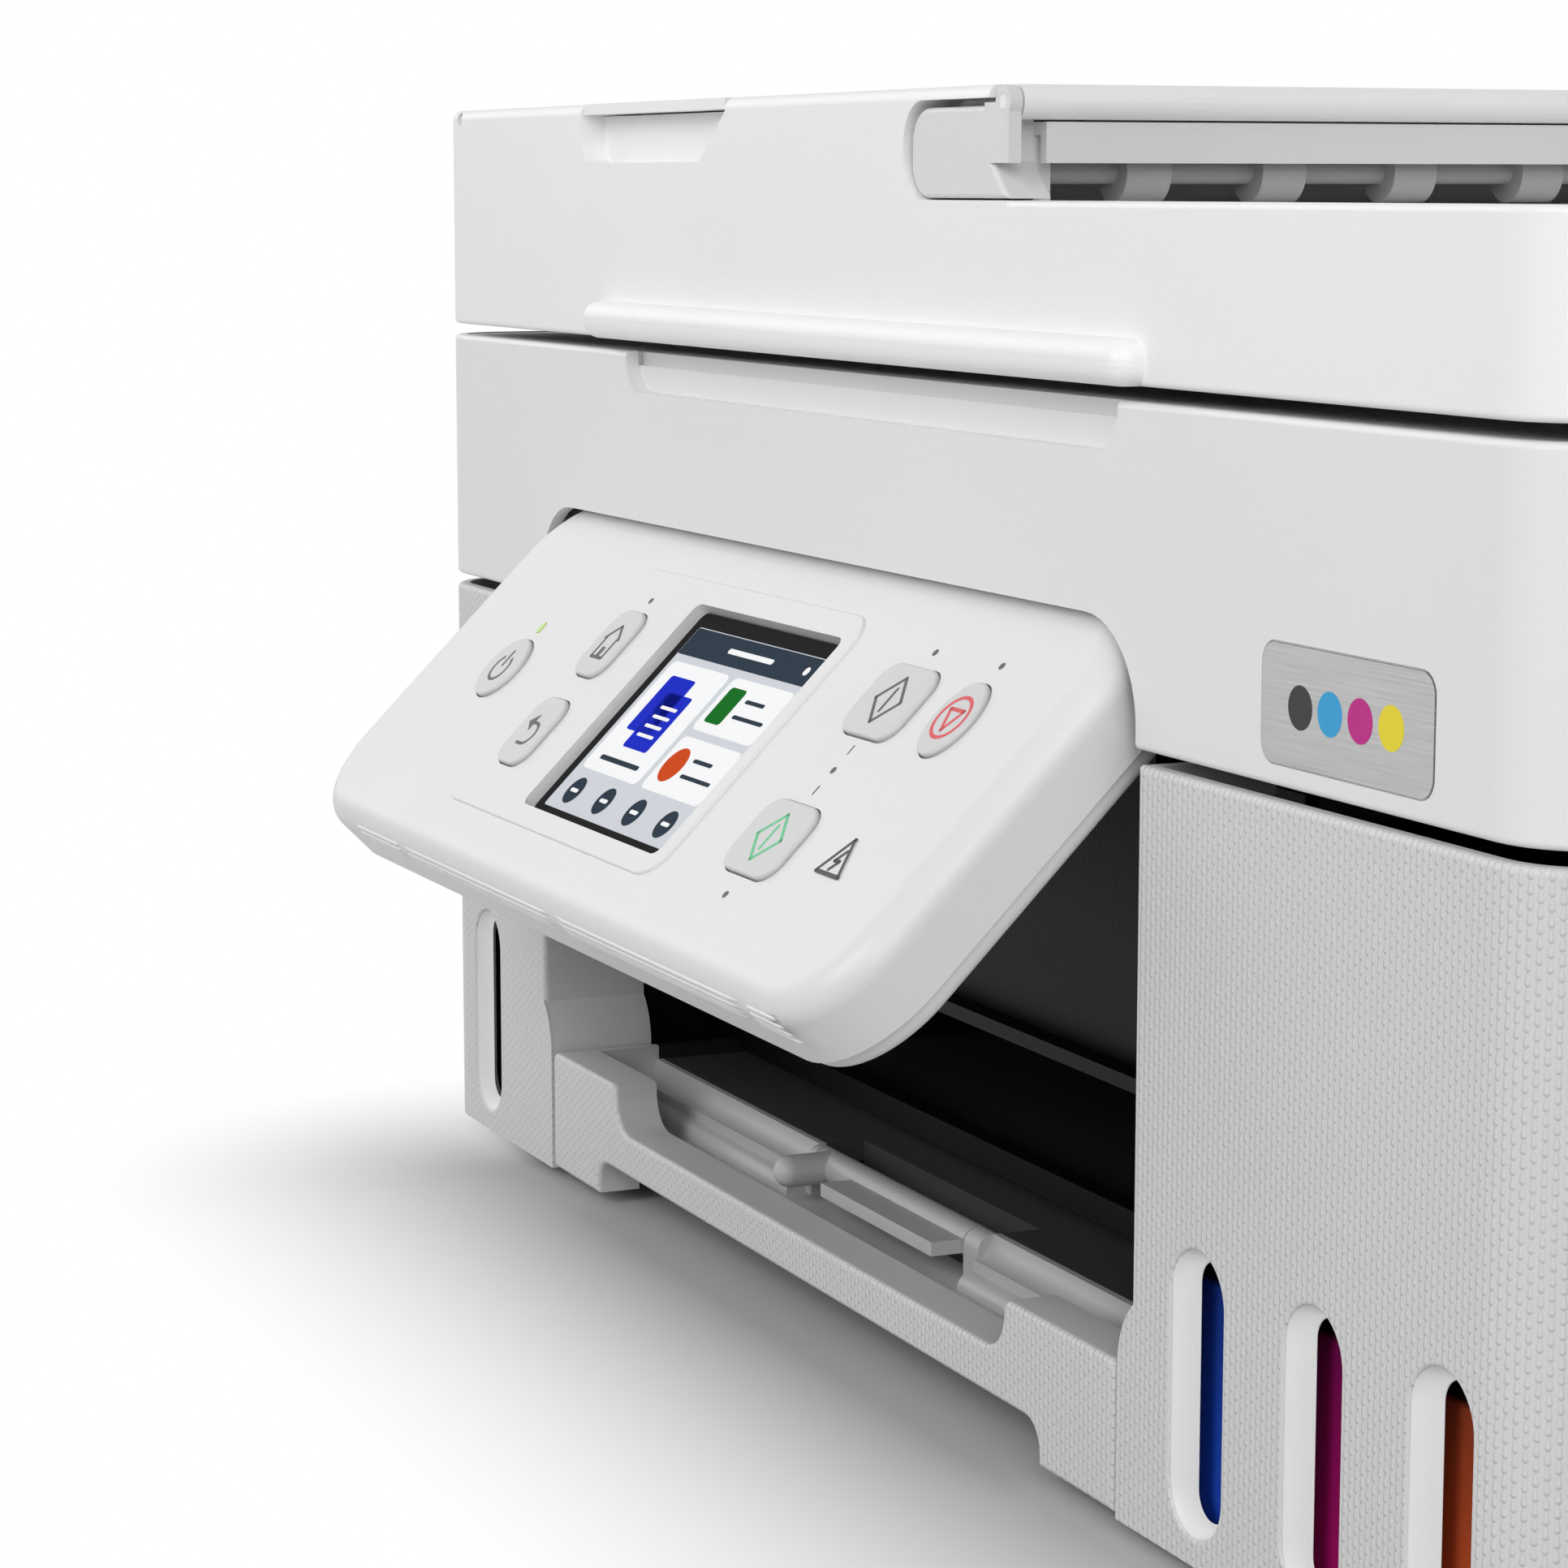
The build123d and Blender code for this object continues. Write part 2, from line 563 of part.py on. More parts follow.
# Inner frame: tunnel over the cassette, side plates, rear plate and the posts of the scanner hinge
MECH_Y = FRONT + MECH_BACK
PATH_Z = Z_BASE + PATH_HEIGHT
TUNNEL_Z = Z_BASE + TUNNEL_HEIGHT
MECH_Z = Z_BASE + MECH_TOP
FRAME_FRONT = FRONT + CHEEK_DEPTH + SEAM_GAP
FRONT_PANEL_Y = FRONT + FRONT_PANEL_SETBACK
with BuildPart() as inner_frame:
    for x in (BAY_LEFT - FRAME_PLATE, BAY_RIGHT):
        slab((x, x + FRAME_PLATE), (FRAME_FRONT, MECH_Y), (Z_BED, TUNNEL_Z + FRAME_PLATE))
    bay = (BAY_LEFT - FRAME_PLATE, BAY_RIGHT + FRAME_PLATE)
    slab(bay, (FRAME_FRONT, FRONT + TUNNEL_END), (TUNNEL_Z, TUNNEL_Z + FRAME_PLATE))
    slab(bay, (FRONT_PANEL_Y, FRONT_PANEL_Y + FRAME_PLATE), (TUNNEL_Z, MECH_Z))
    rear = (MECH_Y, MECH_Y + FRAME_PLATE)
    slab((-HALF_WIDTH + 2 * WALL, HALF_WIDTH - 2 * WALL), rear, (Z_BASE + REAR_PLATE_BOTTOM, MECH_Z))
    for x in (-POST_X, POST_X):
        post = (x - POST_WIDTH / 2, x + POST_WIDTH / 2)
        slab(post, (MECH_Y, UPPER_BACK + POST_EYE_R), (MECH_Z - 2 * POST_WIDTH, MECH_Z))
        slab(post, (UPPER_BACK - POST_EYE_R, UPPER_BACK + POST_EYE_R), (MECH_Z - POST_WIDTH, SCANNER_AXIS_Z))
        rod((x, UPPER_BACK, SCANNER_AXIS_Z), "X", POST_EYE_R, POST_WIDTH)
        rod((x, UPPER_BACK, SCANNER_AXIS_Z), "X", PIN_R, 2 * POST_WIDTH, Mode.SUBTRACT)
    for setback in (FEED_SETBACK, EXIT_SETBACK):
        bearing = (PAPER_X, FRONT + setback, PATH_Z)
        rod(bearing, "X", SHAFT_R + RUN_CLEAR, BAY_WIDTH + 4 * FRAME_PLATE, Mode.SUBTRACT)
inner_frame.part.label = "inner_frame"
export_step(inner_frame.part, "parts/inner_frame.step")

with BuildPart() as hinge_pins:
    for x in (-POST_X, POST_X):
        rod((x, UPPER_BACK, SCANNER_AXIS_Z), "X", PIN_R, PIN_LENGTH)
    for x in (PAPER_X - PANEL_ARM_SPACING / 2, PAPER_X + PANEL_ARM_SPACING / 2):
        rod((x, PANEL_AXIS_Y, PANEL_AXIS_Z), "X", PIN_R, PIN_LENGTH)
hinge_pins.part.label = "hinge_pins"
export_step(hinge_pins.part, "parts/hinge_pins.step")

with BuildPart() as panel_bracket:
    half = PANEL_ARM_SPACING / 2 + 2 * PANEL_ARM_WIDTH
    foot_z = MECH_Z - 3 * PANEL_ARM_WIDTH
    back_y = FRONT_PANEL_Y
    bar_z = (foot_z, PANEL_AXIS_Z + PANEL_EYE_R)
    slab((PAPER_X - half, PAPER_X + half), (back_y - FRAME_PLATE, back_y), bar_z)
    for x in (PAPER_X - PANEL_ARM_SPACING / 2, PAPER_X + PANEL_ARM_SPACING / 2):
        arm = (x - PANEL_ARM_WIDTH / 2, x + PANEL_ARM_WIDTH / 2)
        arm_z = (PANEL_AXIS_Z - PANEL_EYE_R, PANEL_AXIS_Z + PANEL_EYE_R)
        slab(arm, (PANEL_AXIS_Y, back_y), arm_z)
        rod((x, PANEL_AXIS_Y, PANEL_AXIS_Z), "X", PANEL_EYE_R, PANEL_ARM_WIDTH)
        rod((x, PANEL_AXIS_Y, PANEL_AXIS_Z), "X", PIN_R, 2 * PANEL_ARM_WIDTH, Mode.SUBTRACT)
panel_bracket.part.label = "panel_bracket"
export_step(panel_bracket.part, "parts/panel_bracket.step")

# Ink tanks with hinged caps
TANK_Y = FRONT + WINDOW_DEPTH + FIT_GAP
NECK_Y = TANK_Y + NECK_SETBACK
TANK_Z = Z_BED + TANK_HEIGHT
CAP_AXIS_Y = NECK_Y + CAP_ARM
CAP_AXIS_Z = TANK_Z + NECK_HEIGHT


def ink_tank(x, width):
    """Tank with its filler neck and the pin that carries the cap."""
    with BuildPart() as tank:
        slab((x - width / 2, x + width / 2), (TANK_Y, TANK_Y + TANK_DEPTH), (Z_BED, TANK_Z))
        fillet(tank.edges().filter_by(Axis.Z), TANK_EDGE_R)
        fillet(tank.edges().group_by(Axis.Z)[-1], TANK_EDGE_R / 2)
        with BuildSketch(Plane.XY.offset(TANK_Z)):
            with Locations((x, NECK_Y)):
                Circle(NECK_R)
        extrude(amount=NECK_HEIGHT)
        with BuildSketch(Plane.XY.offset(TANK_Z + NECK_HEIGHT)):
            with Locations((x, NECK_Y)):
                Circle(NECK_R - NECK_WALL)
        extrude(amount=-NECK_BORE, mode=Mode.SUBTRACT)
        for side in (-1, 1):
            ear_x = x + side * (CAP_ARM_WIDTH / 2 + SLIDE_GAP + CAP_EAR / 2)
            ear = (ear_x - CAP_EAR / 2, ear_x + CAP_EAR / 2)
            slab(ear, (CAP_AXIS_Y - CAP_BARREL_R, CAP_AXIS_Y + CAP_BARREL_R), (TANK_Z, CAP_AXIS_Z))
            rod((ear_x, CAP_AXIS_Y, CAP_AXIS_Z), "X", CAP_BARREL_R, CAP_EAR)
        rod((x, CAP_AXIS_Y, CAP_AXIS_Z), "X", CAP_PIN_R, CAP_ARM_WIDTH + 2 * SLIDE_GAP + CAP_EAR)
    return tank.part


def tank_cap(x):
    """Cap over the neck on its swinging arm."""
    cap_z = TANK_Z + NECK_HEIGHT + FIT_GAP
    with BuildPart() as cap:
        with BuildSketch(Plane.XY.offset(cap_z)):
            with Locations((x, NECK_Y)):
                Circle(CAP_R)
        extrude(amount=CAP_HEIGHT)
        fillet(cap.edges().group_by(Axis.Z)[-1], CAP_HEIGHT / 4)
        arm = (x - CAP_ARM_WIDTH / 2, x + CAP_ARM_WIDTH / 2)
        slab(arm, (NECK_Y, CAP_AXIS_Y), (cap_z, cap_z + CAP_HEIGHT / 2))
        rod((x, CAP_AXIS_Y, CAP_AXIS_Z), "X", CAP_BARREL_R, CAP_ARM_WIDTH)
        rod((x, CAP_AXIS_Y, CAP_AXIS_Z), "X", CAP_PIN_R + RUN_CLEAR, 2 * CAP_ARM_WIDTH, Mode.SUBTRACT)
    return cap.part


with BuildPart() as ink_tank_black:
    add(ink_tank(BLACK_X, TANK_BLACK_WIDTH))
ink_tank_black.part.label = "ink_tank_black"
export_step(ink_tank_black.part, "parts/ink_tank_black.step")

with BuildPart() as ink_tank_cyan:
    add(ink_tank(CYAN_X, TANK_WIDTH))
ink_tank_cyan.part.label = "ink_tank_cyan"
export_step(ink_tank_cyan.part, "parts/ink_tank_cyan.step")

with BuildPart() as ink_tank_magenta:
    add(ink_tank(MAGENTA_X, TANK_WIDTH))
ink_tank_magenta.part.label = "ink_tank_magenta"
export_step(ink_tank_magenta.part, "parts/ink_tank_magenta.step")

with BuildPart() as ink_tank_yellow:
    add(ink_tank(YELLOW_X, TANK_WIDTH))
ink_tank_yellow.part.label = "ink_tank_yellow"
export_step(ink_tank_yellow.part, "parts/ink_tank_yellow.step")

with BuildPart() as tank_cap_black:
    add(tank_cap(BLACK_X))
tank_cap_black.part.label = "tank_cap_black"
export_step(tank_cap_black.part, "parts/tank_cap_black.step")

with BuildPart() as tank_cap_cyan:
    add(tank_cap(CYAN_X))
tank_cap_cyan.part.label = "tank_cap_cyan"
export_step(tank_cap_cyan.part, "parts/tank_cap_cyan.step")

with BuildPart() as tank_cap_magenta:
    add(tank_cap(MAGENTA_X))
tank_cap_magenta.part.label = "tank_cap_magenta"
export_step(tank_cap_magenta.part, "parts/tank_cap_magenta.step")

with BuildPart() as tank_cap_yellow:
    add(tank_cap(YELLOW_X))
tank_cap_yellow.part.label = "tank_cap_yellow"
export_step(tank_cap_yellow.part, "parts/tank_cap_yellow.step")

# Carriage, rail, belt and motor
RAIL_HALF = HALF_WIDTH - RAIL_INSET
RAIL_Z = Z_BASE + RAIL_HEIGHT
PULLEY_X = HALF_WIDTH - PULLEY_INSET
CARRIAGE_HOME_X = HALF_WIDTH - CARRIAGE_INSET
PULLEY_Y = MECH_Y - PULLEY_SETBACK
PULLEY_Z = Z_BASE + PULLEY_LEVEL
CARRIAGE_Z = Z_BASE + CARRIAGE_BOTTOM
CARRIAGE_BACK = MECH_Y - RAIL_THICKNESS - SLIDE_GAP
CARRIAGE_FRONT = CARRIAGE_BACK - CARRIAGE_SIZE[1]
BELT_SPAN = PULLEY_R + FIT_GAP + BELT_THICKNESS + SLIDE_GAP
SHELF_BACK = PULLEY_Y - BELT_SPAN
with BuildPart() as carriage_rail:
    web_z = (RAIL_Z, RAIL_Z + RAIL_WEB_HEIGHT)
    slab((-RAIL_HALF, RAIL_HALF), (MECH_Y - RAIL_THICKNESS, MECH_Y), web_z)
    flange = (MECH_Y - RAIL_FLANGE, MECH_Y)
    slab((-PULLEY_X - 2 * PULLEY_R, RAIL_HALF), flange, (RAIL_Z, RAIL_Z + RAIL_THICKNESS))
    stud_z = PULLEY_Z + PULLEY_HEIGHT
    rod((-PULLEY_X, PULLEY_Y, (RAIL_Z + stud_z) / 2), "Z", PULLEY_SHAFT_R, stud_z - RAIL_Z)
carriage_rail.part.label = "carriage_rail"
export_step(carriage_rail.part, "parts/carriage_rail.step")

with BuildPart() as carriage:
    car_x = (CARRIAGE_HOME_X - CARRIAGE_SIZE[0] / 2, CARRIAGE_HOME_X + CARRIAGE_SIZE[0] / 2)
    slab(car_x, (CARRIAGE_FRONT, SHELF_BACK), (CARRIAGE_Z, CARRIAGE_Z + CARRIAGE_SIZE[2]))
    inner_x = (car_x[0] + CARRIAGE_WALL, car_x[1] - CARRIAGE_WALL)
    inner_y = (CARRIAGE_FRONT + CARRIAGE_WALL, SHELF_BACK - CARRIAGE_WALL)
    inside_z = (CARRIAGE_Z + CARRIAGE_WALL, CARRIAGE_Z + 2 * CARRIAGE_SIZE[2])
    slab(inner_x, inner_y, inside_z, Mode.SUBTRACT)
    slab(car_x, (SHELF_BACK, CARRIAGE_BACK), (CARRIAGE_Z, PULLEY_Z - SLIDE_GAP))
    groove = (RAIL_Z - SLIDE_GAP, RAIL_Z + RAIL_THICKNESS + SLIDE_GAP)
    slab(car_x, (MECH_Y - RAIL_FLANGE - SLIDE_GAP, MECH_Y), groove, Mode.SUBTRACT)
    with Locations((CARRIAGE_HOME_X, (inner_y[0] + inner_y[1]) / 2, CARRIAGE_Z)):
        with GridLocations(HEAD_SIZE[0] + CARRIAGE_WALL, 0, 2, 1):
            Box(
                HEAD_NOZZLE[0] + 2 * HEAD_SLOT_GAP,
                HEAD_NOZZLE[1] + 2 * HEAD_SLOT_GAP,
                4 * CARRIAGE_WALL,
                mode=Mode.SUBTRACT,
            )
carriage.part.label = "carriage"
export_step(carriage.part, "parts/carriage.step")

HEAD_Y = (CARRIAGE_FRONT + SHELF_BACK) / 2
with BuildPart() as print_heads:
    head_z = CARRIAGE_Z + CARRIAGE_WALL
    with Locations((CARRIAGE_HOME_X, HEAD_Y, head_z)):
        with GridLocations(HEAD_SIZE[0] + CARRIAGE_WALL, 0, 2, 1):
            Box(*HEAD_SIZE, align=(Align.CENTER, Align.CENTER, Align.MIN))
            Box(*HEAD_NOZZLE, align=(Align.CENTER, Align.CENTER, Align.MAX))
print_heads.part.label = "print_heads"
export_step(print_heads.part, "parts/print_heads.step")

with BuildPart() as belt_pulley_drive:
    rod((PULLEY_X, PULLEY_Y, PULLEY_Z + PULLEY_HEIGHT / 2), "Z", PULLEY_R, PULLEY_HEIGHT)
    rod((PULLEY_X, PULLEY_Y, PULLEY_Z), "Z", PULLEY_SHAFT_R + RUN_CLEAR, 4 * PULLEY_HEIGHT, Mode.SUBTRACT)
belt_pulley_drive.part.label = "belt_pulley_drive"
export_step(belt_pulley_drive.part, "parts/belt_pulley_drive.step")

with BuildPart() as belt_pulley_idle:
    rod((-PULLEY_X, PULLEY_Y, PULLEY_Z + PULLEY_HEIGHT / 2), "Z", PULLEY_R, PULLEY_HEIGHT)
    rod((-PULLEY_X, PULLEY_Y, PULLEY_Z), "Z", PULLEY_SHAFT_R + RUN_CLEAR, 4 * PULLEY_HEIGHT, Mode.SUBTRACT)
belt_pulley_idle.part.label = "belt_pulley_idle"
export_step(belt_pulley_idle.part, "parts/belt_pulley_idle.step")

BELT_R = PULLEY_R + FIT_GAP
with BuildPart() as drive_belt:
    with BuildSketch(Plane.XY.offset(PULLEY_Z + (PULLEY_HEIGHT - BELT_HEIGHT) / 2)):
        with Locations((0, PULLEY_Y)):
            SlotCenterToCenter(2 * PULLEY_X, 2 * (BELT_R + BELT_THICKNESS))
            SlotCenterToCenter(2 * PULLEY_X, 2 * BELT_R, mode=Mode.SUBTRACT)
    extrude(amount=BELT_HEIGHT)
drive_belt.part.label = "drive_belt"
export_step(drive_belt.part, "parts/drive_belt.step")

with BuildPart() as carriage_motor:
    motor_top = PULLEY_Z - SLIDE_GAP
    rod((PULLEY_X, PULLEY_Y, motor_top - MOTOR_HEIGHT / 2), "Z", MOTOR_R, MOTOR_HEIGHT)
    plate = (motor_top - RAIL_THICKNESS, motor_top)
    slab((PULLEY_X - MOTOR_R, PULLEY_X + MOTOR_R), (PULLEY_Y, MECH_Y), plate)
    shaft = PULLEY_HEIGHT + SLIDE_GAP
    rod((PULLEY_X, PULLEY_Y, motor_top + shaft / 2), "Z", PULLEY_SHAFT_R, shaft)
carriage_motor.part.label = "carriage_motor"
export_step(carriage_motor.part, "parts/carriage_motor.step")

# Paper path
PATH_SPAN = BAY_WIDTH - 2 * SEAM_GAP
with BuildPart() as feed_roller:
    rod((PAPER_X, FRONT + FEED_SETBACK, PATH_Z), "X", FEED_R, PATH_SPAN)
    rod((PAPER_X, FRONT + FEED_SETBACK, PATH_Z), "X", SHAFT_R, BAY_WIDTH + 6 * FRAME_PLATE)
feed_roller.part.label = "feed_roller"
export_step(feed_roller.part, "parts/feed_roller.step")

with BuildPart() as exit_roller:
    rod((PAPER_X, FRONT + EXIT_SETBACK, PATH_Z), "X", SHAFT_R, BAY_WIDTH + 6 * FRAME_PLATE)
    with Locations((PAPER_X, FRONT + EXIT_SETBACK, PATH_Z)):
        with GridLocations(EXIT_TYRE_PITCH, 0, EXIT_TYRE_COUNT, 1):
            Cylinder(EXIT_R, EXIT_TYRE_WIDTH, rotation=(0, 90, 0))
exit_roller.part.label = "exit_roller"
export_step(exit_roller.part, "parts/exit_roller.step")

with BuildPart() as platen:
    platen_y = (FRONT + PLATEN_SETBACK[0], FRONT + PLATEN_SETBACK[1])
    platen_top = Z_BASE + PLATEN_HEIGHT[1]
    slab((BAY_LEFT, BAY_RIGHT), platen_y, (Z_BASE + PLATEN_HEIGHT[0], platen_top - PLATEN_RIB[1]))
    with Locations((PAPER_X, (platen_y[0] + platen_y[1]) / 2, platen_top - PLATEN_RIB[1] / 2)):
        with GridLocations(SHEET_WIDTH / (PLATEN_RIB_COUNT - 1), 0, PLATEN_RIB_COUNT, 1):
            Box(PLATEN_RIB[0], platen_y[1] - platen_y[0], PLATEN_RIB[1])
platen.part.label = "platen"
export_step(platen.part, "parts/platen.step")

with BuildPart() as purge_unit:
    purge_y = (CARRIAGE_FRONT, FRONT + PLATEN_SETBACK[1])
    purge_x = (BAY_RIGHT + PURGE_BAY_GAP, HALF_WIDTH - PURGE_SIDE_GAP)
    cap_z = Z_BASE + PURGE_HEIGHT - PURGE_CAP[2]
    slab(purge_x, purge_y, (Z_BED, cap_z))
    with Locations((CARRIAGE_HOME_X, HEAD_Y, cap_z)):
        with GridLocations(HEAD_SIZE[0] + CARRIAGE_WALL, 0, 2, 1):
            Box(*PURGE_CAP, align=(Align.CENTER, Align.CENTER, Align.MIN))
purge_unit.part.label = "purge_unit"
export_step(purge_unit.part, "parts/purge_unit.step")

with BuildPart() as main_board:
    board_x = BAY_RIGHT + FRAME_PLATE
    board_y = MECH_Y + FRAME_PLATE
    board_z = Z_BASE + REAR_PLATE_BOTTOM
    board_span = (board_y, board_y + BOARD_SIZE[1])
    slab((board_x - BOARD_SIZE[0], board_x), board_span, (board_z, board_z + BOARD_SIZE[2]))
    chip_x = board_x - CHIP_AT[0]
    chip_z = board_z + CHIP_AT[1]
    slab((chip_x - CHIP_SIZE[0], chip_x), (board_y, board_y + CHIP_SIZE[1]), (chip_z, chip_z + CHIP_SIZE[2]))
main_board.part.label = "main_board"
export_step(main_board.part, "parts/main_board.step")

with BuildPart() as power_supply:
    supply_x = BAY_LEFT - FRAME_PLATE - SEAM_GAP
    supply_y = BACK - INLET_SIZE[1] - SUPPLY_SIZE[1]
    slab(
        (supply_x - SUPPLY_SIZE[0], supply_x),
        (supply_y, supply_y + SUPPLY_SIZE[1]),
        (Z_BED, Z_BED + SUPPLY_SIZE[2]),
    )
power_supply.part.label = "power_supply"
export_step(power_supply.part, "parts/power_supply.step")

# Cassette: front with dipped lip and finger recess, tub behind, cover with the output basin
CASSETTE_Z = Z_BASE + CASSETTE_LIFT
CASSETTE_TOP = Z_BASE + CASSETTE_HEIGHT
TUB_FLOOR = Z_BED + SEAT_GAP
CASSETTE_X = (PAPER_X - CASSETTE_WIDTH / 2, PAPER_X + CASSETTE_WIDTH / 2)
TUB_Y = (FRONT + FRONT_THICKNESS, FRONT + CASSETTE_LENGTH)
LIP_Z = Z_BASE + LIP_HEIGHT
RECESS_Z = Z_BASE + HAND_RECESS_HEIGHT
with BuildPart() as paper_cassette:
    with BuildSketch(front_plane) as face:
        with Locations((PAPER_X, CASSETTE_Z)):
            Rectangle(CASSETTE_WIDTH, CASSETTE_TOP - CASSETTE_Z, align=(Align.CENTER, Align.MIN))
        with Locations((CASSETTE_X[0] + LIP_SHOULDERS[0], LIP_Z)):
            lip_width = CASSETTE_WIDTH - sum(LIP_SHOULDERS)
            Rectangle(lip_width, CASSETTE_TOP, align=(Align.MIN, Align.MIN), mode=Mode.SUBTRACT)
        with Locations((PAPER_X, RECESS_Z)):
            recess_width = CASSETTE_WIDTH - 2 * HAND_RECESS_INSET
            Rectangle(recess_width, CASSETTE_TOP, align=(Align.CENTER, Align.MAX), mode=Mode.SUBTRACT)
        corners = face.vertices()
        fillet(corners.filter_by_position(Axis.Y, LIP_Z - 0.1, LIP_Z + 0.1), LIP_R)
        fillet(face.vertices().filter_by_position(Axis.Y, RECESS_Z - 0.1, RECESS_Z + 0.1), HAND_RECESS_R)
        fillet(face.vertices().filter_by_position(Axis.Y, CASSETTE_TOP - 0.1, CASSETTE_TOP + 0.1), SHOULDER_R)
    extrude(amount=-FRONT_THICKNESS)
    rim = paper_cassette.faces().sort_by(Axis.Y)[0].edges()
    fillet(rim, EDGE_R)
    slab(CASSETTE_X, TUB_Y, (TUB_FLOOR, CASSETTE_TOP - FIT_GAP))
    inner_x = (CASSETTE_X[0] + CASSETTE_WALL, CASSETTE_X[1] - CASSETTE_WALL)
    inner_y = (TUB_Y[0], TUB_Y[1] - CASSETTE_WALL)
    slab(inner_x, inner_y, (TUB_FLOOR + CASSETTE_WALL, 2 * CASSETTE_TOP), Mode.SUBTRACT)
paper_cassette.part.label = "paper_cassette"
export_step(paper_cassette.part, "parts/paper_cassette.step")

BASIN_Z = Z_BASE + BASIN_HEIGHT
RIDGE_Z = Z_BASE + RIDGE_HEIGHT
RIDGE_Y = FRONT + RIDGE_SETBACK
COVER_BACK = FRONT + FRONT_THICKNESS + TRAY_COVER_LENGTH
SUPPORT_X = (PAPER_X + SUPPORT_REACH[0], PAPER_X + SUPPORT_REACH[1])
SUPPORT_Z = RIDGE_Z - SUPPORT_BAR_R
GAP_X = (PAPER_X + RIDGE_GAP[0], PAPER_X + RIDGE_GAP[1])
with BuildPart() as cassette_cover:
    with BuildSketch(Plane.YZ.offset(CASSETTE_X[0] + CASSETTE_WALL)) as section:
        with BuildLine():
            brow = Line((TUB_Y[0], LIP_Z - LIP_STEP), (TUB_Y[0] + BASIN_RAMP, BASIN_Z))
            bowl = Line(brow @ 1, (RIDGE_Y - RIDGE_R - BOWL_R, BASIN_Z))
            rise = RadiusArc(bowl @ 1, (RIDGE_Y - RIDGE_R, BASIN_Z + BOWL_R), BOWL_R)
            flank = Line(rise @ 1, (RIDGE_Y - RIDGE_R, RIDGE_Z - RIDGE_R))
            crown = RadiusArc(flank @ 1, (RIDGE_Y, RIDGE_Z), -RIDGE_R)
            back = Line(crown @ 1, (COVER_BACK, RIDGE_Z - COVER_FALL))
            end = Line(back @ 1, (COVER_BACK, RIDGE_Z - COVER_FALL - TRAY_COVER_THICKNESS))
            under = Line(end @ 1, (RIDGE_Y, RIDGE_Z - 2 * TRAY_COVER_THICKNESS))
            wall = Line(under @ 1, (RIDGE_Y, BASIN_Z - TRAY_COVER_THICKNESS))
            floor = Line(wall @ 1, (TUB_Y[0], BASIN_Z - TRAY_COVER_THICKNESS))
            Line(floor @ 1, brow @ 0)
        make_face()
    extrude(amount=CASSETTE_WIDTH - 2 * CASSETTE_WALL)
    gap_y = (TUB_Y[0] + BASIN_RAMP, RIDGE_Y + SUPPORT_FOOT)
    slab(GAP_X, gap_y, (BASIN_Z, 2 * RIDGE_Z), Mode.SUBTRACT)
    slab(GAP_X, (RIDGE_Y, gap_y[1] + TRAY_COVER_THICKNESS), (BASIN_Z - TRAY_COVER_THICKNESS, BASIN_Z))
    gap_end = (gap_y[1], gap_y[1] + TRAY_COVER_THICKNESS)
    slab(GAP_X, gap_end, (BASIN_Z, RIDGE_Z - TRAY_COVER_THICKNESS))
    for post in ((GAP_X[0], SUPPORT_X[0] - SLIDE_GAP), (SUPPORT_X[1] + SLIDE_GAP, GAP_X[1])):
        slab(post, (RIDGE_Y - SUPPORT_BAR_R, RIDGE_Y + SUPPORT_BAR_R), (BASIN_Z, SUPPORT_Z))
        rod((sum(post) / 2, RIDGE_Y, SUPPORT_Z), "X", SUPPORT_BAR_R, post[1] - post[0])
    bore = SUPPORT_X[1] - SUPPORT_X[0] + 2 * (SUPPORT_PIN_IN + FIT_GAP)
    rod((sum(SUPPORT_X) / 2, RIDGE_Y, SUPPORT_Z), "X", SUPPORT_PIN_R + RUN_CLEAR, bore, Mode.SUBTRACT)
cassette_cover.part.label = "cassette_cover"
export_step(cassette_cover.part, "parts/cassette_cover.step")

with BuildPart() as output_support:
    middle = sum(SUPPORT_X) / 2
    rod((middle, RIDGE_Y, SUPPORT_Z), "X", SUPPORT_BAR_R, SUPPORT_X[1] - SUPPORT_X[0])
    foot_x = SUPPORT_X[0] + SUPPORT_BAR_R
    rod((foot_x, RIDGE_Y - SUPPORT_FOOT / 2, SUPPORT_Z), "Y", SUPPORT_BAR_R, SUPPORT_FOOT)
    with Locations((foot_x, RIDGE_Y - SUPPORT_FOOT, SUPPORT_Z)):
        Sphere(SUPPORT_BAR_R)
    paddle_x = (PAPER_X + SUPPORT_PADDLE[0], PAPER_X + SUPPORT_PADDLE[1])
    paddle_y = (RIDGE_Y - SUPPORT_PADDLE_LENGTH, RIDGE_Y)
    slab(paddle_x, paddle_y, (SUPPORT_Z - SUPPORT_BAR_R / 2, SUPPORT_Z + SUPPORT_BAR_R / 3))
    pin_length = SUPPORT_X[1] - SUPPORT_X[0] + 2 * SUPPORT_PIN_IN
    rod((middle, RIDGE_Y, SUPPORT_Z), "X", SUPPORT_PIN_R, pin_length)
output_support.part.label = "output_support"
export_step(output_support.part, "parts/output_support.step")

GUIDE_Z = TUB_FLOOR + CASSETTE_WALL + SEAT_GAP
GUIDE_Y = (FRONT + GUIDE_SETBACK, FRONT + GUIDE_SETBACK + GUIDE_SIZE[1])


